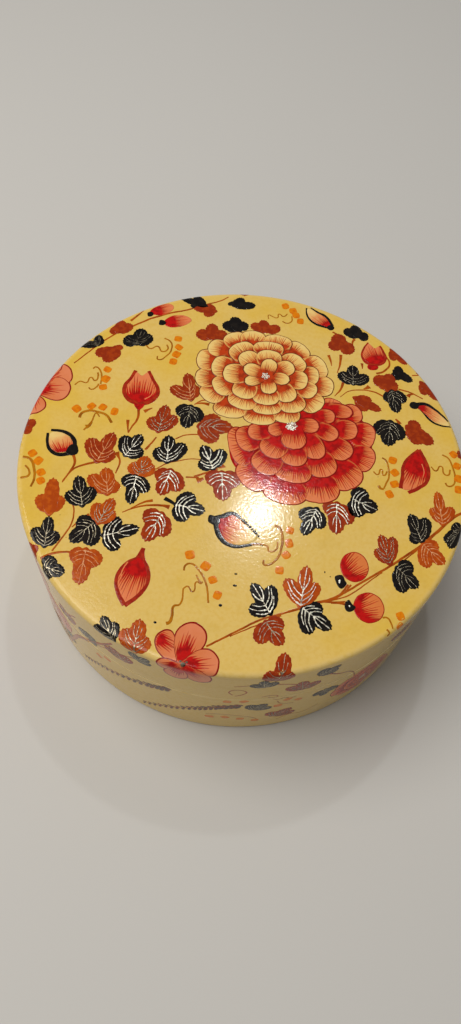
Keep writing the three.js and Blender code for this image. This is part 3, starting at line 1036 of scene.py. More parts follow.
RIBS_OF_A_LOBE = ((0.4, 0.32, 0.6), (0.27, 0.78, 0.17), (0.14, 0.93, 0.02), (0.05, 0.8, -0.11))
RIB_BOW = 0.1
RIB_TAPER = 0.6
MIDRIB_STARTS, MIDRIB_ENDS = 0.05, 0.94
MIDDLE_LOBE_SHARE = 0.95
vein_dice = random.Random(7)


def lobes(leaves, fullness=LOBE_BREADTH):
    """The three touches of each leaf, the middle one painted last. A leaf may give its own fullness."""
    spots = []
    for base, tip, left, right, *own in leaves:
        breadth = (own[0] if own else fullness) * min(math.dist(left, right), math.dist(base, tip))
        root = tuple(Vector(base).lerp(Vector(tip), SIDE_LOBE_ROOT))
        touches = ((root, left, 1.0), (root, right, 1.0), (base, tip, MIDDLE_LOBE_SHARE))
        for number, (start, end, share) in enumerate(touches):
            spots.append((start, end, breadth * share, LEAF_LIFT + number * LOBE_STEP))
    return spots


def veins(leaves, width):
    """Each leaf's midrib, and on either side of it the ribs of a lobe, which bow outwards.

    Each rib of a lobe is (start along the midrib, reach towards the lobe's tip, shift along the midrib).
    """
    lines = []
    for base, tip, left, right, *own in leaves:
        base = Vector(base)
        rib = Vector(tip) - base
        midrib = [base + rib * share for share in (MIDRIB_STARTS, 0.5, MIDRIB_ENDS)]
        lines.append((width, width * RIB_TAPER, midrib))
        for lobe in (Vector(left) - base, Vector(right) - base):
            outward = lobe - rib * (lobe.dot(rib) / rib.length_squared)
            for root, reach, shift in RIBS_OF_A_LOBE:
                start = base + rib * root
                end = base + lobe * reach * vein_dice.uniform(0.88, 1.0) + rib * shift
                across = Vector((start.y - end.y, end.x - start.x))
                middle = (start + end) / 2 + across * math.copysign(RIB_BOW, across.dot(outward))
                rib_width = width * vein_dice.uniform(0.8, 1.1)
                lines.append((rib_width, rib_width * RIB_TAPER, [start, middle, end]))
    return lines


def of_tone(leaves, orange):
    """The leaves that are painted orange, or those that are not."""
    return [leaf for leaf in leaves if (leaf[0] in ORANGE_LEAF_BASES) == orange]


black_top = lobes(BLACK_LEAVES) + lobes(BLACK_LEAVES_PLAIN, PLAIN_LOBE_BREADTH)
russet_top, orange_top = (
    lobes(of_tone(RUSSET_LEAVES + RUSSET_LEAVES_LINED, orange))
    + lobes(of_tone(RUSSET_LEAVES_PLAIN, orange), PLAIN_LOBE_BREADTH)
    for orange in (False, True))
gilded = [(leaf, BOLD_ON_BLACK_WITHIN) for leaf in BLACK_LEAVES]
gilded += [(leaf, BOLD_ON_RUSSET_WITHIN) for leaf in RUSSET_LEAVES]
bold = [leaf for leaf, within in gilded if math.dist(leaf[0], NEAR_THE_LAMP) < within]
fine = [leaf for leaf, within in gilded if leaf not in bold]

# The flowers and fruit: fat petals in two colours, blended while wet, the deeper one drawn out over the
# paler in a comb of fine hairs. Every petal has a thin outline, and each row lies under the row inside.
FAN_CENTRE = 0.7
NARROWEST_FAN = 0.3
HAIR_STRETCH = 0.8
HAIR_SHIFT_OF_A_PETAL = 37.0
HAIR_NOISE_SCALE = 0.9
HAIR_JITTER = 1.6
HAIR_CONTRAST, WEAKEST_HAIR = 2.4, -0.4
HAIR_RAGGEDNESS = 0.0004
DEEP_HAIR_REACH, FINE_HAIR_REACH = 0.6, 1.35
FINE_HAIR_STRENGTH = 0.74
DEEPER_SHARE = 0.62
WET_BLEND_SIZE = 0.002
hairs, hairs_in, hairs_out = group("Comb of hairs", "ShaderNodeTree", [
    ("INPUT", "Start", "Float", 0.35),
    ("INPUT", "Reach", "Float", 0.35),
    ("INPUT", "Hairs", "Float", 9.0),
    ("INPUT", "Outline width", "Float", 0.0003),
    ("INPUT", "Side fade", "Float", 0.1),
    ("INPUT", "Side margin", "Float", 0.001),
    ("OUTPUT", "Deep", "Float", None),
    ("OUTPUT", "Fine", "Float", None),
    ("OUTPUT", "Along", "Float", None),
    ("OUTPUT", "Outline", "Float", None),
])
calc = math_in(hairs)
along, across, rim, seed = (
    place(hairs, "ShaderNodeAttribute", attribute_name=key).outputs["Fac"]
    for key in ("along", "across", "rim", "seed")
)
petal_width = split(hairs, place(hairs, "ShaderNodeAttribute", attribute_name="size").outputs["Vector"])["X"]
fan = calc("DIVIDE", across, calc("MAXIMUM", calc("ADD", along, FAN_CENTRE), NARROWEST_FAN))
hair_count = calc("MULTIPLY", fan, hairs_in.outputs["Hairs"])
hair_shift = calc("MULTIPLY", seed, HAIR_SHIFT_OF_A_PETAL)
hair_at = joined(hairs, hair_count, calc("MULTIPLY", along, HAIR_STRETCH), hair_shift)
hair_noise = {"Vector": hair_at, "Scale": HAIR_NOISE_SCALE, "Detail": 1.5}
uneven = place(hairs, "ShaderNodeTexNoise", hair_noise).outputs["Fac"]
wave = calc("MULTIPLY", calc("PINGPONG", calc("MULTIPLY_ADD", uneven, HAIR_JITTER, hair_count), 0.5), 2.0)
strength = calc("MULTIPLY", calc("MULTIPLY_ADD", uneven, HAIR_CONTRAST, WEAKEST_HAIR), wave)
aside = calc("MULTIPLY", calc("MULTIPLY", across, across), hairs_in.outputs["Side fade"])
beyond = calc("SUBTRACT", calc("ADD", along, aside), hairs_in.outputs["Start"])
margin = calc("MULTIPLY", rim, calc("MULTIPLY", petal_width, 0.5))
ragged = calc("MULTIPLY_ADD", wave, HAIR_RAGGEDNESS, margin)
side_margin = hairs_in.outputs["Side margin"]
margin_ends = calc("MULTIPLY_ADD", side_margin, 1.3, 0.0001)
inside = ramped(hairs, ragged, calc("MULTIPLY", side_margin, 0.7), margin_ends)
rooted = calc("SUBTRACT", 1.0, ramped(hairs, along, -0.2, 0.02))
inside_or_base = calc("MAXIMUM", inside, rooted)
for name, share in (("Deep", DEEP_HAIR_REACH), ("Fine", FINE_HAIR_REACH)):
    hair_reach = calc("MULTIPLY", calc("MULTIPLY", strength, hairs_in.outputs["Reach"]), share)
    bare = ramped(hairs, calc("SUBTRACT", beyond, hair_reach), -0.02, 0.03)
    hairs.links.new(calc("MULTIPLY", calc("SUBTRACT", 1.0, bare), inside_or_base), hairs_out.inputs[name])
edge = calc("DIVIDE", margin, calc("MAXIMUM", hairs_in.outputs["Outline width"], 1e-6))
hairs.links.new(along, hairs_out.inputs["Along"])
by_edge = calc("SUBTRACT", 1.0, ramped(hairs, edge, 0.75, 1.25))
drawn = calc("MULTIPLY", by_edge, ramped(hairs, along, -0.1, 0.12))
hairs.links.new(drawn, hairs_out.inputs["Outline"])


def combed_paint(
        name, deep, pale, tip, outline, start, reach, count=9.0, line=0.0003, side_fade=0.1, margin=0.0):
    """Petal paint: deep at the base, its hairs drawn out over the pale, a tint by the tip and an outline."""
    material, tree, shader = lacquered(name)
    comb = place(tree, "ShaderNodeGroup", {
        "Start": start, "Reach": reach, "Hairs": count, "Outline width": line, "Side fade": side_fade,
        "Side margin": margin}, node_tree=hairs).outputs
    blend = cloudy(tree, position_in(tree), WET_BLEND_SIZE, 2.0)
    calc = math_in(tree)
    tipward = calc("MULTIPLY_ADD", calc("SUBTRACT", blend, 0.5), 0.5, comb["Along"])
    colour = blended(tree, ramped(tree, tipward, 0.3, 1.0), pale, tip)
    deeper = tuple(level * DEEPER_SHARE for level in deep[:3]) + (1.0,)
    deep_mottled = blended(tree, ramped(tree, blend, 0.4, 0.66), deep, deeper)
    colour = blended(tree, calc("MULTIPLY", comb["Fine"], FINE_HAIR_STRENGTH), colour, deep_mottled)
    colour = blended(tree, comb["Deep"], colour, deep_mottled)
    colour = blended(tree, comb["Outline"], colour, outline)
    tree.links.new(colour, shader.inputs["Base Color"])
    return material


CREAM = srgb(236, 182, 98)
CREAM_TIP = srgb(238, 206, 128)
CREAM_BUD = srgb(226, 134, 76)
HAIR_RED = srgb(192, 62, 16)
OUTLINE_BROWN = srgb(112, 40, 8)
FLOWER_RED = srgb(194, 18, 14)
SALMON = srgb(220, 124, 64)
SALMON_TIP = srgb(230, 130, 84)
BLOSSOM_SALMON = srgb(218, 122, 72)
BLOSSOM_TIP = srgb(226, 134, 92)
CHERRY_OUTLINE = srgb(176, 44, 18)
OUTLINE_RED = srgb(142, 14, 8)
BUD_LINE_RED = srgb(150, 30, 12)
BUD_LINE_PALE = srgb(176, 48, 16)
UNDERCOAT_STREAK_SIZE = 0.003
PETAL_STEP = 0.0000018
BLOSSOM_PETAL_STEP = 1.6 * PETAL_STEP
RED_FLOWER_LIFT = 0.00001
CREAM_FLOWER_LIFT = 0.00007
CREAM_UNDERCOAT_LIFT = CREAM_FLOWER_LIFT - 0.00001
BLOSSOM_SIDE_LIFT = 0.000008
BUD_LIFT = 0.00001
CALYX_LIFT = 0.00002
GLEAM_LIFT = 0.00002
LINE_ON_LEAF_LIFT = 0.000026
DULL_SPOT_LIFT = 0.00004
FRUIT_GLINT_LIFT = 0.00005
SIDE_CENTRE_LIFT = 0.00006
SIDE_CENTRE_WIDTH = 0.14
SIDE_CENTRE_HEIGHT = 0.13
SILVER_LIFT = 0.00016
SILVER_UNEVENNESS = 0.000004

cream_colours = (HAIR_RED, CREAM, CREAM_TIP, OUTLINE_BROWN)
red_colours = (FLOWER_RED, SALMON, SALMON_TIP, OUTLINE_RED)
cream_paint = combed_paint(
    "cream petal", *cream_colours, start=0.22, reach=0.48, count=11.0, line=0.00036, margin=0.0009)
red_paint = combed_paint(
    "red petal", *red_colours, start=0.3, reach=0.5, count=11.0, line=0.00046, margin=0.0009)
inner_cream_paint = combed_paint("inner cream petal", *cream_colours, start=0.22, reach=0.44, line=0.00036)
inner_red_paint = combed_paint("inner red petal", *red_colours, start=0.28, reach=0.52, line=0.00046)
bud_paint = combed_paint("bud", *red_colours, start=0.45, reach=0.36, line=0.0)
cherry_paint = combed_paint(
    "cherry", FLOWER_RED, SALMON, SALMON, CHERRY_OUTLINE, start=0.25, reach=0.5, side_fade=-0.34)
blossom_paint = combed_paint(
    "blossom petal", FLOWER_RED, BLOSSOM_SALMON, BLOSSOM_TIP, OUTLINE_RED, start=0.42, reach=0.36,
    count=7.0, line=0.00044, side_fade=1.0, margin=0.0008)
cream_bud_paint = combed_paint(
    "cream bud", FLOWER_RED, CREAM_BUD, CREAM_TIP, CREAM, start=0.22, reach=0.34, count=7.0, line=0.0)

petal_outline = [
    (0, -0.5), (0.2, -0.4), (0.35, -0.05), (0.46, 0.28), (0.5, 0.5), (0.465, 0.69), (0.37, 0.84),
    (0.24, 0.93), (0.11, 0.96), (0.02, 1.0), (-0.1, 0.97), (-0.24, 0.94), (-0.38, 0.83), (-0.48, 0.68),
    (-0.5, 0.48), (-0.45, 0.26), (-0.35, -0.05), (-0.2, -0.4),
]
broad_outline = [
    (0, -0.4), (0.22, -0.35), (0.42, -0.12), (0.5, 0.15), (0.52, 0.4), (0.485, 0.64), (0.39, 0.82),
    (0.26, 0.92), (0.12, 0.96), (0.03, 0.99), (-0.1, 0.98), (-0.25, 0.93), (-0.39, 0.82), (-0.49, 0.62),
    (-0.52, 0.38), (-0.5, 0.13), (-0.41, -0.12), (-0.22, -0.35),
]
blossom_outline = [
    (0, -0.08), (0.1, -0.04), (0.26, 0.14), (0.41, 0.36), (0.5, 0.58), (0.48, 0.75), (0.38, 0.88),
    (0.23, 0.96), (0.08, 0.99), (-0.06, 1.0), (-0.24, 0.95), (-0.39, 0.85), (-0.48, 0.71), (-0.49, 0.52),
    (-0.41, 0.33), (-0.26, 0.13), (-0.1, -0.04),
]
blossom_dab = dab_shape("blossom dab", blossom_outline)
petal_dab = dab_shape("petal dab", petal_outline)
broad_dab = dab_shape("broad petal dab", broad_outline)
OUTER_ROW_WIDENING = (1.02, 1.04, 1.06, 1.06)


def petals(rows, lift, inner):
    """The petals of a flower, given row by row from the middle outwards and painted outermost first.

    The inner row's petals have narrow bases that meet in the middle. The other rows' are broad.
    """
    flat = []
    for row, wider in zip(rows, OUTER_ROW_WIDENING):
        flat += [(base, tip, width * wider) for base, tip, width in row]
    laid = [
        (base, tip, width, lift + PETAL_STEP * (len(flat) - number))
        for number, (base, tip, width) in enumerate(flat)]
    return laid[:len(rows[0])] if inner else laid[len(rows[0]):]


# Each petal is (base, tip, width).
CREAM_FLOWER = [
    [
        ((5.2, 37), (6.3, 44.5), 6.3), ((4, 37), (-3.7, 39.6), 6.2), ((4, 35.3), (-2.9, 32.2), 5.2),
        ((5.4, 34.5), (7, 28), 6.2), ((6.4, 36), (14, 35.3), 5.8),
    ],
    [
        ((9, 38.8), (14.8, 42.8), 7), ((5.5, 42), (5.3, 48.6), 9.2), ((1, 40.5), (-4.8, 46), 8),
        ((-3, 36), (-11, 35.6), 8.8), ((-1.5, 31.5), (-3.4, 25), 8.8), ((5.5, 29.5), (5.6, 23), 9.5),
        ((11, 31.8), (14.6, 25.6), 7.6), ((14, 36), (20.4, 35.7), 8.4), ((12.5, 41), (17.2, 46.8), 9.8),
    ],
    [
        ((5, 47), (4.8, 52.5), 10.8), ((-3, 44.5), (-7.2, 50), 9.6), ((-8.8, 38.3), (-15.3, 38.8), 9.2),
        ((-7.8, 31.5), (-13.2, 27.6), 9), ((-2, 26.4), (-3.8, 20.4), 10), ((6, 24.4), (6.3, 19), 10),
        ((14.3, 27.4), (16.2, 21), 9.2), ((18, 32.8), (23.6, 30.6), 7.4), ((19, 38.5), (24.3, 38.6), 8),
    ],
    [
        ((8, 50.5), (8.6, 56.1), 10), ((-1, 50.5), (-1, 57), 9.2), ((-6.5, 49.5), (-9.5, 54.9), 8.4),
        ((-10.8, 46.4), (-17.4, 47.6), 7.8), ((-14.3, 41), (-21, 40.6), 9.2),
        ((-13.8, 33), (-20.6, 32), 8.2), ((-12, 28.2), (-16, 22.8), 9), ((-6.5, 22.3), (-7, 16.1), 11),
        ((4, 20), (3.8, 14.4), 10.8), ((13.2, 22), (13.4, 16.2), 9.2), ((19.8, 28), (25.5, 24), 9),
        ((23, 34.5), (29.8, 34), 8.6), ((20.5, 41.5), (26.4, 44.6), 10.5), ((14.6, 48), (18.2, 52.4), 9),
    ],
]
RED_FLOWER = [
    [((16, 14.8), (16.6, 5.4), 9.2), ((13.4, 15), (6.9, 12), 6.2), ((17.4, 16.6), (25.4, 16.3), 6.8)],
    [
        ((7, 12.2), (-0.1, 11), 7.2), ((11.4, 9), (7.2, 1.8), 9.6), ((17, 6), (16.6, -1.2), 9),
        ((21.6, 11), (25.6, 2.6), 7.8), ((25, 15.8), (31.8, 12.4), 7), ((24.4, 20.8), (30.8, 21.6), 6.4),
    ],
    [
        ((3, 9.3), (-3.4, 6.6), 10), ((9.4, 2.2), (5, -4.8), 10.2), ((17, -0.6), (16.5, -7.7), 12),
        ((25, 4), (28.4, -4.2), 10), ((29.4, 10), (36.4, 5), 8.6), ((31.6, 16.4), (38.8, 16.3), 8.2),
        ((28.8, 24.6), (37, 23.4), 6),
    ],
    [
        ((0.4, 5.6), (-5.6, 3.6), 15), ((6, -3.8), (-0.2, -9.8), 12.4), ((15, -8), (14, -16.1), 14),
        ((25.4, -5), (26.5, -14.5), 13), ((32, 0.4), (38.2, -7), 11.5), ((37.4, 6), (44.6, 4), 10.4),
        ((38, 15), (44.8, 14.2), 10.4), ((34, 22.4), (39.8, 25), 8), ((29, 24), (31.6, 28.4), 9),
    ],
]
BLOSSOM = [
    ((-12.8, -73.4), (-9.3, -60.2), 9.8), ((-12.2, -73.8), (-1.2, -71.8), 9.6),
    ((-12.2, -74), (-4.5, -83), 9), ((-13, -73.8), (-20.4, -75.8), 6), ((-12.8, -74.2), (-16.5, -84), 8.5),
]
BLOSSOM_SIDE_PETAL = [
    ([
        (-12.6, -73.4), (-16.6, -73), (-19.6, -70.8), (-21.2, -68), (-20.8, -65.2), (-18.8, -63.4),
        (-16.6, -63.4), (-15.2, -65.4), (-14.4, -68.6), (-12.8, -71),
    ], (-22.6, -65.2), (-12, -71)),
]
LEFT_BLOSSOM = [
    ((-75.6, 22.4), (-64.4, 30), 11.4), ((-75.8, 20.4), (-62.9, 21.4), 10.6), ((-75, 24), (-70, 34.2), 8),
    ((-76, 18), (-73, 9.5), 8.5), ((-78, 21), (-86, 20), 9), ((-78, 23), (-84, 31), 8.5),
]


def shifted_petals(flower, lift, step):
    """A small flower's petals, each a step above the one before."""
    return [(base, tip, width, lift + step * number) for number, (base, tip, width) in enumerate(flower)]


# Each bud, fruit and calyx is (outline, base, tip).
BUDS = [
    ([
        (-41.6, 32), (-42.6, 29), (-44.2, 25.5), (-43.8, 22), (-41.5, 19.4), (-38.6, 18.6), (-35.2, 19.6),
        (-33, 22.6), (-33, 25.6), (-35.4, 29.4), (-37.2, 32.4), (-39.2, 30.6),
    ], (-38.4, 13.8), (-39.4, 33.6)),
    ([
        (-29.2, -38.4), (-30.4, -40.6), (-32.8, -42.8), (-34.8, -46), (-35.4, -49.6), (-34.2, -53.2),
        (-31.9, -56.8), (-29, -54.2), (-26.8, -50.8), (-26, -47.4), (-26.8, -44), (-28.2, -41),
    ], (-28.6, -38), (-33.4, -57)),
    ([
        (59.5, 10.6), (56.4, 7.4), (54.6, 4), (54.2, -0.4), (53.6, -4.8), (55.8, -5.6), (58.2, -4.6),
        (61.6, -1.6), (62.4, 2.6), (61.4, 7),
    ], (60.4, 8.8), (53.4, -7.6)),
    ([
        (42, 56.4), (40.4, 53.4), (39.8, 50.6), (41.2, 47.8), (43.6, 46.8), (46.6, 47.8), (48, 50.2),
        (47.2, 53.2), (46, 55.6), (44.2, 54.6),
    ], (46, 45.4), (41.6, 56.6)),
    ([
        (-40.6, 61.2), (-38.2, 64.2), (-34.6, 66), (-32.2, 65), (-32.4, 62.8), (-35.2, 60.2), (-38.8, 59.6),
    ], (-41, 60.4), (-31.6, 65.4)),
    ([
        (-34.6, 57.4), (-31.8, 60.2), (-27.6, 60.8), (-24.6, 59), (-26.4, 56.4), (-30.2, 54.6),
        (-33.6, 54.8),
    ], (-35.6, 56), (-24.4, 58.6)),
]
CHERRIES = [
    spot((38.1, -36.1), 4.6, 5.3, (41.8, -32.6)),
    spot((42.8, -49.5), 4.9, 5.1, (47.4, -47.6)),
]
BUD_GLEAMS = [
    (0.5, 0.3, [(-36.8, 20.4), (-34.8, 22.3), (-34.2, 25.2)]),
    (0.5, 0.3, [(-33, -42.6), (-34.2, -45.6), (-34.2, -48.6)]),
    (0.4, 0.3, [(-42.8, 27), (-43, 24), (-42.4, 22)]),
    (0.4, 0.3, [(60.6, 5.4), (61.3, 2.6), (60.8, 0)]),
]
BUD_OUTLINES = [
    (1.3, 1.8, [(-41.7, 32.6), (-42.8, 29), (-44.4, 25.5), (-44, 22), (-41.6, 19.2), (-38.6, 18.4)]),
    (1.8, 1.2, [(-38.6, 18.4), (-35.2, 19.3), (-32.8, 22.6), (-32.9, 25.6), (-35.2, 29.4), (-37.1, 33)]),
    (0.9, 1.6, [
        (-28.9, -37.6), (-30.2, -40.6), (-32.8, -42.6), (-35, -46), (-35.5, -49.6), (-34.3, -53.2),
        (-31.8, -57),
    ]),
    (1.6, 0.9, [
        (-31.8, -57), (-28.8, -54.2), (-26.6, -50.8), (-25.8, -47.4), (-26.6, -44), (-28.2, -41),
        (-28.9, -37.6),
    ]),
    (0.9, 1.6, [(59.7, 11.2), (56.4, 7.6), (54.4, 4), (54, -0.4), (53.2, -5.2)]),
    (1.4, 1.3, [(59.7, 11.2), (61.6, 7.2), (62.8, 2.8), (62, -1.6), (58.4, -5), (55.8, -6.6)]),
    (0.6, 1.1, [(41.8, 57), (40.2, 53.8), (39.5, 50.6), (41, 47.5), (43.4, 46.5)]),
    (1.2, 0.8, [(43.4, 46.5), (46.8, 47.5), (48.3, 50.2), (47.5, 53.4), (46.2, 56)]),
    (1.3, 2.0, [(-28.8, -37.2), (-29.2, -39), (-29.8, -40.8)]),
]
CALYXES = [
    ([
        (-40.4, 18.8), (-38.4, 19.2), (-36.6, 18.6), (-36.8, 17), (-38.2, 15.6), (-39.8, 17),
    ], (-38.3, 19), (-38.2, 15.4)),
    ([
        (41.8, 46.2), (43.6, 46.6), (45.6, 46.2), (45.2, 44.6), (43.4, 44), (41.8, 44.6),
    ], (43.6, 47), (43.6, 43.8)),
]
CREAM_BUDS = [
    ([
        (-66, 2.6), (-62, 2.7), (-58.6, 0.2), (-57.6, -3.2), (-61.8, -5.2), (-64.8, -4), (-66.2, -1),
    ], (-60.4, -5.8), (-64.8, 3.4)),
    ([
        (-8, -24.4), (-4, -23), (-1.5, -21.8), (3, -25.4), (6.6, -29), (4.4, -31.6), (0.6, -32.6),
        (-2.6, -32), (-5.2, -29.2), (-6.6, -26.4),
    ], (-7.6, -25.6), (5.8, -30.6)),
    ([
        (27, 62.4), (25, 62.9), (21.2, 64.4), (18.9, 67.2), (18.3, 70.4), (20, 70.6), (22, 69.2),
        (25.6, 67), (27.6, 63.8),
    ], (27, 62.4), (18.4, 70.6)),
    ([
        (59.2, 29.6), (62.5, 30.5), (66, 28.6), (70, 24.6), (71, 22.6), (68, 22.8), (64.7, 24.3), (61, 28),
    ], (59, 29.8), (71, 22.4)),
]
BLACK_OUTLINES = [
    (1.0, 1.7, [(-66.4, 3.5), (-61.8, 3.3), (-58.2, 0.9), (-57, -3)]),
    (0.9, 1.6, [(-67.2, 2.2), (-66.7, -1), (-65, -4.6), (-62, -6), (-58.6, -5.2)]),
    (1.9, 1.4, [(-8, -24.3), (-5, -22.9), (-2.2, -21.6), (-0.6, -22.1), (0.6, -23)]),
    (2.1, 0.6, [
        (-6.9, -25), (-6.4, -28), (-4.8, -31), (-2.5, -32.8), (0.6, -33.3), (4, -32.4), (6.6, -31.6),
        (8.8, -31.9),
    ]),
    (1.2, 0.7, [(27.3, 62.3), (25, 62.5), (21, 64), (18.7, 67), (18, 71)]),
    (1.4, 0.5, [(28.2, 63.2), (25.9, 67.3), (22, 69.7), (19.6, 71.4)]),
    (1.8, 0.7, [(58.6, 30.3), (62.5, 31), (66, 29), (70.5, 24.5)]),
    (1.2, 0.5, [(60, 29.4), (61, 28.5), (64.5, 23.9), (68, 22.3), (71.4, 22.2)]),
    (1.0, 1.5, [(-20.6, -20.5), (-22.6, -19.4), (-24.6, -18.4)]),
]
BEADED_LINES = [(0.85, 0.6, [(0.2, -22.6), (2.6, -24.4), (5, -26.7), (7.6, -29.4)])]
BLACK_CALYXES = [
    ([
        (32, -40.2), (34.2, -39.4), (35.2, -41), (35.8, -42.4), (34.2, -44.1), (32.8, -43),
    ], (34, -39), (34, -44)),
    ([
        (35.4, -48.8), (36.6, -47.5), (37.6, -48.8), (38.7, -49.8), (38, -51), (36.6, -51.6), (35.4, -50.6),
    ], (35, -49), (38, -50)),
    ([
        (-58.8, -1.8), (-56.8, -1.2), (-55.8, -3.2), (-55.9, -5), (-58, -5.9), (-59.8, -4.6),
    ], (-59, -3), (-56, -4)),
    ([
        (-9.4, -22.9), (-7.4, -23.2), (-5.9, -23.9), (-5.8, -25.6), (-6.8, -26.9), (-8.4, -26.1),
        (-9.6, -25.2),
    ], (-9, -24), (-6, -25)),
    ([(-41.4, 60.4), (-40, 61), (-39, 60), (-39.6, 58.8), (-41, 58.6)], (-40, 61), (-41, 58)),
    ([(-36.4, 57.2), (-34.8, 57.4), (-33.8, 56.2), (-34.8, 55), (-36.4, 55.2)], (-34, 56), (-37, 56)),
    spot((27.6, 62.4), 1.4, 1.3, (28, 62)),
    spot((58.5, 30), 1.7, 1.6, (58, 30)),
]
BLACK_DOTS = [
    spot((1, -42.8), 0.5, 0.3, (2, -42)), spot((1, -46.8), 0.65, 0.4, (2, -46)),
    spot((-2.8, -53.8), 0.6, 0.5, (-2, -53)), spot((-21.8, -61.5), 0.5, 0.4, (-21, -61)),
    spot((28.8, -39), 0.2, 0.35, (29, -38)), spot((30.6, -40.4), 0.2, 0.2, (31, -40)),
]
DULL_SPOTS = [
    spot((-11.9, -73.6), 0.8, 0.7, (-11, -73)),
    spot((-10.9, -72.8), 0.4, 0.35, (-11, -73)),
    spot((-12.8, -72.7), 0.4, 0.35, (-11, -73)),
]
SILVER_SPOTS = raised([
    ([(33.2, -41.3), (33.7, -41), (33.8, -41.7), (33.5, -42.4), (33.2, -42)], (33, -41), (33.6, -43)),
    ([(36.7, -49.3), (37.2, -49.5), (37, -49.9), (36.6, -49.7)], (36.6, -49), (37, -50.4)),
], FRUIT_GLINT_LIFT)

# The grains in the middle of a flower lie in a spiral. Each set is (middle, spread, how many, size).
GRAIN_SETS = (((15.4, 15.4), 2.0, 26, 0.4), ((4.8, 36.2), 1.5, 16, 0.36))
GRAIN_TURN = 2.4
SPIRAL_FLATNESS = 0.9
GRAIN_FLATNESS = 0.85
silver_dice = random.Random(5)
for middle, spread, count, size in GRAIN_SETS:
    for number in range(count):
        angle, away = number * GRAIN_TURN, spread * math.sqrt((number + 0.5) / count)
        at = (middle[0] + away * math.cos(angle), middle[1] + SPIRAL_FLATNESS * away * math.sin(angle))
        grain = size * silver_dice.uniform(0.7, 1.15)
        tip = (at[0] + math.cos(angle), at[1] + math.sin(angle))
        lift = SILVER_LIFT + SILVER_UNEVENNESS * silver_dice.random()
        SILVER_SPOTS.append((*spot(at, grain, grain * GRAIN_FLATNESS, tip), lift))

CREAM_UNDERCOAT = [
    ([
        (7, 52.8), (-7.6, 51.6), (-15.2, 44.6), (-17.6, 34), (-12.6, 25), (-4, 19.6), (6, 18), (15.6, 20.6),
        (22.6, 27.6), (26, 35), (24, 43.6), (16.6, 50),
    ], (5, 36), (5, 50)),
]
RED_UNDERCOAT = [
    ([
        (6, 13), (-3.6, 10.6), (-5, 1), (1, -7.6), (13, -14.2), (26, -12.2), (35.6, -4), (42.6, 4.4),
        (43, 15), (38.6, 22.4), (29, 26.6), (18, 22),
    ], (18, 5), (18, 20)),
]

# The side: a lid's worth of leaves and a fern's fronds that run on across the seam as one painting, with a
# flower head beside them. The front follows the photograph. The back repeats its motifs in sprays.
FROND_BROWN = srgb(60, 24, 14)
FROND_LEAF_LENGTH = 3.2
FROND_LEAF_WIDTH = 1.5
FROND_LEAF_FORWARDS = 0.75
FROND_LEAF_OUTWARDS = 0.7
FROND_TAPER = 0.45
FROND_LEAVES_A_SPAN = 9
BACK_START, BACK_END = 58, 312
BACK_SPRAYS = 6
UPSIDE_DOWN_DEPTH = 58
SPRAY_STEM = ((0.02, 52), (0.2, 44), (0.42, 33), (0.62, 21), (0.84, 12), (0.97, 9))
SPRAY_FROND = ((0.36, 46), (0.3, 50), (0.2, 54), (0.06, 55.6))
SPRAY_TENDRIL = ((0.06, 24), (0.12, 17), (0.24, 14), (0.36, 15.6))
SPRAY_BERRIES = ((0.03, 18), (0.1, 12), (0.21, 9.6), (0.33, 11))
SPRAY_FLOWER = ((0.72, 41),)
SPRAY_LEAN = 25
SPRAY_LEAF_GAP = 1.6
LOWEST_LEAF_TIP = 4.4
LOBE_SPREAD = 42
LOBE_LENGTH = 0.78
FLOWER_HEAD_ROWS = ((1.0, 0.62, 9, 0.72), (0.7, 0.34, 7, 0.6), (0.4, 0.06, 5, 0.42))
side_dice = random.Random(11)


def frond(points, count):
    """The leaflets of a fern on alternate sides of a line of side points, smaller towards its tip."""
    spots = []
    spans = len(points) - 1
    for number in range(count):
        share = number / (count - 1) * spans
        low = min(int(share), spans - 1)
        start, end = Vector(points[low]), Vector(points[low + 1])
        at = start.lerp(end, share - low)
        way = (end - start).normalized()
        across = Vector((-way.y, way.x)) * (1 if number % 2 else -1)
        size = 1.0 - FROND_TAPER * number / count
        leaning = way * FROND_LEAF_FORWARDS + across * FROND_LEAF_OUTWARDS
        tip = at + leaning * FROND_LEAF_LENGTH * size * side_dice.uniform(0.85, 1.15)
        spots.append((tuple(at), tuple(tip), FROND_LEAF_WIDTH * size, LEAF_LIFT))
    return spots


def flower_head(centre, radius):
    """A round flower seen from the front. Each row is (reach, start, number of petals, their width)."""
    rows = []
    centre = Vector(centre)
    for reach, start, count, width in FLOWER_HEAD_ROWS:
        turn = side_dice.uniform(0, 1)
        for number in range(count):
            angle = (number + turn) * math.tau / count
            away = Vector((math.cos(angle), math.sin(angle))) * radius
            tip = tuple(centre + away * reach * side_dice.uniform(0.92, 1.08))
            rows.append((tuple(centre + away * start), tip, radius * width))
    return shifted_petals(rows, RED_FLOWER_LIFT, PETAL_STEP)


def leaf(at, degrees, size):
    """One leaf of the given length whose base is at a side point and which points the given way."""
    def out(turned_by, reach):
        angle = math.radians(degrees + turned_by)
        height = at[1] + math.sin(angle) * reach * size
        return (at[0] + math.cos(angle) * reach * size, max(height, LOWEST_LEAF_TIP))
    return (at, out(0, 1.0), out(LOBE_SPREAD, LOBE_LENGTH), out(-LOBE_SPREAD, LOBE_LENGTH))


def in_spray(number, places):
    """Points of a spray on the back, from (share of its width, depth). Every second one is upside down."""
    width = (BACK_END - BACK_START) / BACK_SPRAYS
    start = BACK_START + (BACK_END - BACK_START) * number / BACK_SPRAYS
    return [
        on_side(start + width * share, UPSIDE_DOWN_DEPTH - depth if number % 2 else depth)
        for share, depth in places]


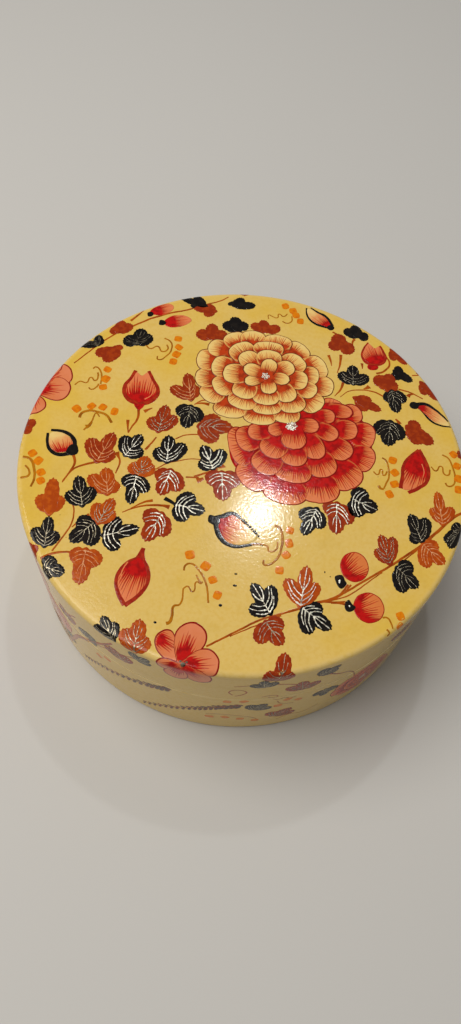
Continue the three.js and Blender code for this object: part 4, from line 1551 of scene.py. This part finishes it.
SIDE_FRONDS = [
    side_line((-12, 25.8), (-18, 30), (-26, 36), (-34, 43), (-40, 50)),
    side_line((6, 31), (0, 34.5), (-6, 40), (-13, 47), (-20, 54)),
]
SIDE_FLOWERS = [(on_side(40, 40), 12.5), (on_side(-52, 34), 11)]
SIDE_BERRIES = side_line(
    (2, 27), (6, 26), (17, 28), (20, 31), (-30, 27.4), (-33, 31), (15, 34), (-2, 47), (2, 46), (6, 47.5),
    (10, 50),
)
SIDE_TENDRILS = [
    (0.5, 0.4, side_line((-3, 44), (1, 42.6), (5, 43.4), (9, 46), (11, 50))),
    (0.4, 0.5, side_line((13, 24.8), (14.6, 26.4), (16, 25.2), (17.6, 27), (19, 26.2))),
    (0.5, 0.5, side_line((19, 34), (17, 33), (15, 30.6), (14.4, 28))),
    (0.5, 0.4, side_line((16, 52), (19, 49), (23, 50.4), (27, 47))),
]
for number in range(BACK_SPRAYS):
    stem = in_spray(number, SPRAY_STEM)
    SIDE_STEMS.append((1.3, 0.5, stem))
    for joint in range(1, len(stem)):
        for direction in (-1, 1):
            way = side_dice.uniform(55, 80) * direction + (-SPRAY_LEAN if number % 2 else SPRAY_LEAN)
            outwards = Vector((math.cos(math.radians(way)), math.sin(math.radians(way))))
            root = tuple(Vector(stem[joint]) + outwards * SPRAY_LEAF_GAP)
            black = (joint + direction + number) % 3 and not (joint * direction + number) % 2
            leaves = SIDE_BLACK_LEAVES if black else SIDE_RUSSET_LEAVES
            leaves.append(leaf(root, way, side_dice.uniform(7.6, 9.8)))
    SIDE_FLOWERS += [(centre, side_dice.uniform(9.5, 11.5)) for centre in in_spray(number, SPRAY_FLOWER)]
    SIDE_FRONDS.append(in_spray(number, SPRAY_FROND))
    SIDE_TENDRILS.append((0.6, 0.4, in_spray(number, SPRAY_TENDRIL)))
    SIDE_BERRIES += in_spray(number, SPRAY_BERRIES)
SIDE_STEMS += [(0.6, 0.3, points) for points in SIDE_FRONDS]
side_leaflets = []
for points in SIDE_FRONDS:
    side_leaflets += frond(points, FROND_LEAVES_A_SPAN * (len(points) - 1))

# The berries: squarish touches of orange beside a curling tendril, most of them in rows of four. Each
# is turned a little its own way.
BERRY_ORANGE = srgb(226, 130, 2)
BERRY_THIN = srgb(212, 106, 4)
BERRY_WIDTH = 3.05
BERRY_LENGTH = 2.9
BERRY_THICKNESS = 0.000012
BERRY_LIFT = 0.000005
BERRY_STEP = 0.000004
berry_paint = plain_paint("berry orange", BERRY_ORANGE, BERRY_THIN, streak_size=0.0012)
berry_outline = [
    (-0.42, -0.4), (0, -0.5), (0.44, -0.38), (0.52, 0.05), (0.42, 0.45), (-0.02, 0.52), (-0.46, 0.4),
    (-0.5, 0),
]
berry_dab = dab_shape("berry dab", berry_outline, (0, -0.5), (0, 0.5), rings=3, thickness=BERRY_THICKNESS)
BERRIES = [
    (-28.5, 49.2), (-27.8, 45.3), (-28.3, 41.9), (-29, 38.4), (-51.8, 31.7), (-51.7, 27.5), (-52, 23.8),
    (-59.4, 13.4), (-54.6, 15.1), (-50.6, 15.2), (-46.3, 13.8), (-70.6, -6.5), (-68.1, -9.2),
    (-66.3, -13.5), (-65.7, -16.7), (10, 70.7), (13, 68.8), (14.3, 66.7), (16, 64), (50.6, 5.6),
    (51.3, 0.7), (51.2, -3.8), (49.4, -8), (71.8, 10.7), (72.7, 6), (73.2, 1), (72.8, -3.3), (-14, -37.9),
    (-8.6, -41.3), (-6, -45.6), (-4, -50.6), (17, -25.5), (17, -30.2), (16.3, -34.5), (14.5, -40),
    (52.5, -51.2), (53, -54.5),
]


def berries(centres, seed):
    """Berries about the given centres, each turned a little its own way."""
    dice = random.Random(seed)
    spots = []
    for number, (px, py) in enumerate(centres):
        angle = dice.uniform(0, math.tau)
        reach = BERRY_LENGTH * dice.uniform(0.85, 1.06)
        tip = (px + reach * math.cos(angle), py + reach * math.sin(angle))
        lift = BERRY_LIFT + BERRY_STEP * (number % 3)
        spots.append(((px, py), tip, BERRY_WIDTH * dice.uniform(0.85, 1.06), lift))
    return spots


# The pieces, one for each colour of paint and body, in the order they are painted. First the brown
# lines of the stems, the tendrils and the fern.
fern_paint = plain_paint("fern brown", FROND_BROWN, STEM_DARK, streak_size=0.002)
hang("stems", [
    strokes("stem lines", line_paint, TOP_STEMS, flatness=0.03, wider=1.15, sides=16),
    strokes("tendril lines", tendril_paint, TENDRILS, flatness=0.07, wider=1.25),
], [
    strokes("side stem lines", line_paint, SIDE_STEMS, on_side=True, flatness=0.04),
    strokes("side tendril lines", tendril_paint, SIDE_TENDRILS, on_side=True, flatness=0.08),
    dabs("fern leaflets", fern_paint, lobe_dab, side_leaflets, on_side=True),
])

# The black leaves, with the black lines round the buds, the black calyxes and a few dots. Of the plain
# leaves only the last ones show faint lines.
faint_lines = veins(BLACK_LEAVES_PLAIN[5:], FAINT_LINE_WIDTH)
calyxes_and_dots = raised(BLACK_CALYXES, CALYX_LIFT) + raised(BLACK_DOTS, 0.0)
hang("black_leaves", [
    dabs("black lobes", black_paint, lobe_dab, black_top),
    strokes("black bud lines", black_paint, BLACK_OUTLINES, lift=BUD_LIFT, flatness=0.02, sides=28),
    strokes(
        "beaded bud line", black_paint, BEADED_LINES, lift=BUD_LIFT, flatness=0.04, beads=1.6, step=0.0002,
        bead_size=0.0006),
    strokes(
        "faint lines", faint_paint, faint_lines, lift=LINE_ON_LEAF_LIFT, flatness=0.06, beads=1.0, sides=6),
    patches("black calyx", black_paint, calyxes_and_dots, rings=3),
], [
    dabs("side black lobes", black_paint, lobe_dab, lobes(SIDE_BLACK_LEAVES), on_side=True),
])

# The russet and orange leaves. Some have pale russet lines in place of the gilt veins, which are in the
# next piece.
russet_lines = veins(RUSSET_LEAVES_LINED, RUSSET_LINE_WIDTH)
hang("russet_leaves", [
    dabs("russet lobes", russet_paint, lobe_dab, russet_top),
    dabs("orange lobes", orange_paint, lobe_dab, orange_top),
    strokes(
        "russet lines", russet_line_paint, russet_lines, lift=LINE_ON_LEAF_LIFT, flatness=0.06, beads=1.3,
        sides=6),
], [
    dabs("side russet lobes", russet_paint, lobe_dab, lobes(SIDE_RUSSET_LEAVES), on_side=True),
])

# The gilt: bold, bright veins on the leaves nearest the lamp, a painted highlight, and fine ones in a
# darker gilt on the rest and on the side, painted shade; and the grains in the middle of each flower.
bold_veins, fine_veins = veins(bold, BOLD_VEIN), veins(fine, FINE_VEIN)
side_veins = veins(SIDE_BLACK_LEAVES + SIDE_RUSSET_LEAVES, SIDE_VEIN)
side_centres = [
    spot(at, size * SIDE_CENTRE_WIDTH, size * SIDE_CENTRE_HEIGHT, (at[0] + 1, at[1]))
    for at, size in SIDE_FLOWERS]
hang("gilt_veins", [
    strokes("bold gilt veins", gilt_paint, bold_veins, lift=GILT_LIFT, step=0.0003, beads=0.95, sides=6),
    strokes("fine gilt veins", shaded_gilt_paint, fine_veins, lift=GILT_LIFT, step=0.0003, beads=1.3, sides=6),
    patches("silver centres", gilt_paint, SILVER_SPOTS, rings=3),
    patches("dull silver centre", faint_paint, raised(DULL_SPOTS, DULL_SPOT_LIFT), rings=3),
], [
    patches(
        "side flower centres", gilt_paint, raised(side_centres, SIDE_CENTRE_LIFT), on_side=True, rings=3),
    strokes(
        "side gilt veins", shaded_gilt_paint, side_veins, on_side=True, lift=GILT_LIFT, step=0.0005, beads=0.5,
        sides=6),
])

# The cream flower: a darker undercoat, then the petals row by row. The small buds that end in cream are
# in the same piece.
cream_under_paint = plain_paint("cream under", HAIR_RED, OUTLINE_BROWN, UNDERCOAT_STREAK_SIZE)
cream_rows, inner_cream_row = (petals(CREAM_FLOWER, CREAM_FLOWER_LIFT, inner) for inner in (False, True))
hang("cream_flower", [
    patches("cream undercoat", cream_under_paint, raised(CREAM_UNDERCOAT, CREAM_UNDERCOAT_LIFT), rings=4),
    dabs("cream petals", cream_paint, broad_dab, cream_rows),
    dabs("inner cream petals", inner_cream_paint, petal_dab, inner_cream_row),
    patches("cream buds", cream_bud_paint, raised(CREAM_BUDS, BUD_LIFT)),
])

# The red flower, laid in the same way, with the two blossoms, the red buds, the cherries and their
# calyxes, and on the side the flower heads.
red_under_paint = plain_paint("red under", FLOWER_RED, OUTLINE_RED, UNDERCOAT_STREAK_SIZE)
red_rows, inner_red_row = (petals(RED_FLOWER, RED_FLOWER_LIFT, inner) for inner in (False, True))
bud_line_paint = plain_paint("bud line", BUD_LINE_RED, BUD_LINE_PALE, streak_size=0.002)
gleam_paint = plain_paint("bud gleam", SALMON_TIP, SALMON, streak_size=0.001)
calyx_paint = plain_paint("calyx red", FLOWER_RED, OUTLINE_RED, streak_size=0.002)
blossom_petals, left_blossom_petals = (
    shifted_petals(flower, RED_FLOWER_LIFT, BLOSSOM_PETAL_STEP) for flower in (BLOSSOM, LEFT_BLOSSOM))
side_petals = [petal for centre, radius in SIDE_FLOWERS for petal in flower_head(centre, radius)]
hang("red_flowers", [
    patches("red undercoat", red_under_paint, raised(RED_UNDERCOAT, 0.0), rings=4),
    dabs("red petals", red_paint, broad_dab, red_rows),
    dabs("inner red petals", inner_red_paint, petal_dab, inner_red_row),
    dabs("blossom petals", blossom_paint, blossom_dab, blossom_petals, fineness=1),
    dabs("left blossom petals", blossom_paint, blossom_dab, left_blossom_petals, fineness=1),
    patches("buds", bud_paint, raised(BUDS, BUD_LIFT)),
    patches("cherries", cherry_paint, raised(CHERRIES, BUD_LIFT)),
    patches("blossom side petal", blossom_paint, raised(BLOSSOM_SIDE_PETAL, BLOSSOM_SIDE_LIFT)),
    strokes("bud gleams", gleam_paint, BUD_GLEAMS, lift=GLEAM_LIFT, flatness=0.05),
    strokes("bud lines", bud_line_paint, BUD_OUTLINES, lift=BUD_LIFT, flatness=0.03, sides=20),
    patches("red calyx", calyx_paint, raised(CALYXES, CALYX_LIFT), rings=3),
], [
    dabs("side petals", red_paint, petal_dab, side_petals, on_side=True),
])

# The berries on the top and on the side, which are painted last. Then the dabs that the brush repeated
# are put away.
hang("berries", [
    dabs("berry dabs", berry_paint, berry_dab, berries(BERRIES, seed=4)),
], [
    dabs("side berry dabs", berry_paint, berry_dab, berries(SIDE_BERRIES, seed=9), on_side=True),
])
for dab in (lobe_dab, blossom_dab, petal_dab, broad_dab, berry_dab):
    bpy.data.objects.remove(dab)

# The floor, and a plain soft light: a small round lamp behind and above and a wider, dimmer one round it,
# whose reflections make the highlight of the photograph, a softbox at the left and an even surround.
FLOOR_SIZE = 3.0
FLOOR_GREY = srgb(204, 202, 198)
FLOOR_ROUGHNESS = 0.7
LAMP_DISTANCE = 1.0
LAMP_SPOT_ON_LID = Vector((0.0068, -0.0205, lid_top))
LAMP_SIZE = 0.038
LAMP_POWER = 0.72
GLOW_SPOT_ON_LID = Vector((0.003, -0.026, lid_top))
GLOW_SIZE = 0.12
GLOW_POWER = 0.13
LAMP_WHITE = (0.95, 0.98, 1.0)
SOFTBOX_WAY = Vector((-0.42, 0.0, 0.91))
SOFTBOX_SIZE = 0.8
SOFTBOX_POWER = 7.8
WARM_WHITE = (1.0, 0.96, 0.9)
SURROUND_LEVEL = 0.22
SURROUND_WHITE = (1.0, 0.985, 0.96, 1.0)

floor_mesh = bpy.data.meshes.new("floor")
half = FLOOR_SIZE / 2
floor_corners = [(-half, -half, 0), (half, -half, 0), (half, half, 0), (-half, half, 0)]
floor_mesh.from_pydata(floor_corners, [], [(0, 1, 2, 3)])
floor = bpy.data.objects.new("floor", floor_mesh)
floor_paint = bpy.data.materials.new("floor paint")
floor_paint.use_nodes = True
floor_shader = floor_paint.node_tree.nodes["Principled BSDF"]
floor_shader.inputs["Base Color"].default_value = FLOOR_GREY
floor_shader.inputs["Roughness"].default_value = FLOOR_ROUGHNESS
floor_mesh.materials.append(floor_paint)
bpy.context.scene.collection.objects.link(floor)


def lamp(name, spot_on_lid, way, size, power, tint):
    """A round lamp that faces a spot on the lid from the given direction."""
    light = bpy.data.objects.new(name, bpy.data.lights.new(name, "AREA"))
    light.data.shape = "DISK"
    light.data.size = size
    light.data.energy = power
    light.data.color = tint
    light.location = spot_on_lid + way.normalized() * LAMP_DISTANCE
    light.rotation_euler = way.to_track_quat("Z", "Y").to_euler()
    bpy.context.scene.collection.objects.link(light)


for name, seen_at, size, power in (
        ("lamp seen in the lid", LAMP_SPOT_ON_LID, LAMP_SIZE, LAMP_POWER),
        ("glow round the lamp", GLOW_SPOT_ON_LID, GLOW_SIZE, GLOW_POWER)):
    to_camera = camera.matrix_world.translation - seen_at
    lamp(name, seen_at, Vector((-to_camera.x, -to_camera.y, to_camera.z)), size, power, LAMP_WHITE)
lamp("softbox", Vector((0, 0, lid_top)), SOFTBOX_WAY, SOFTBOX_SIZE, SOFTBOX_POWER, WARM_WHITE)

world = bpy.data.worlds.new("surround")
world.use_nodes = True
world.node_tree.nodes["Background"].inputs["Color"].default_value = SURROUND_WHITE
world.node_tree.nodes["Background"].inputs["Strength"].default_value = SURROUND_LEVEL
bpy.context.scene.world = world
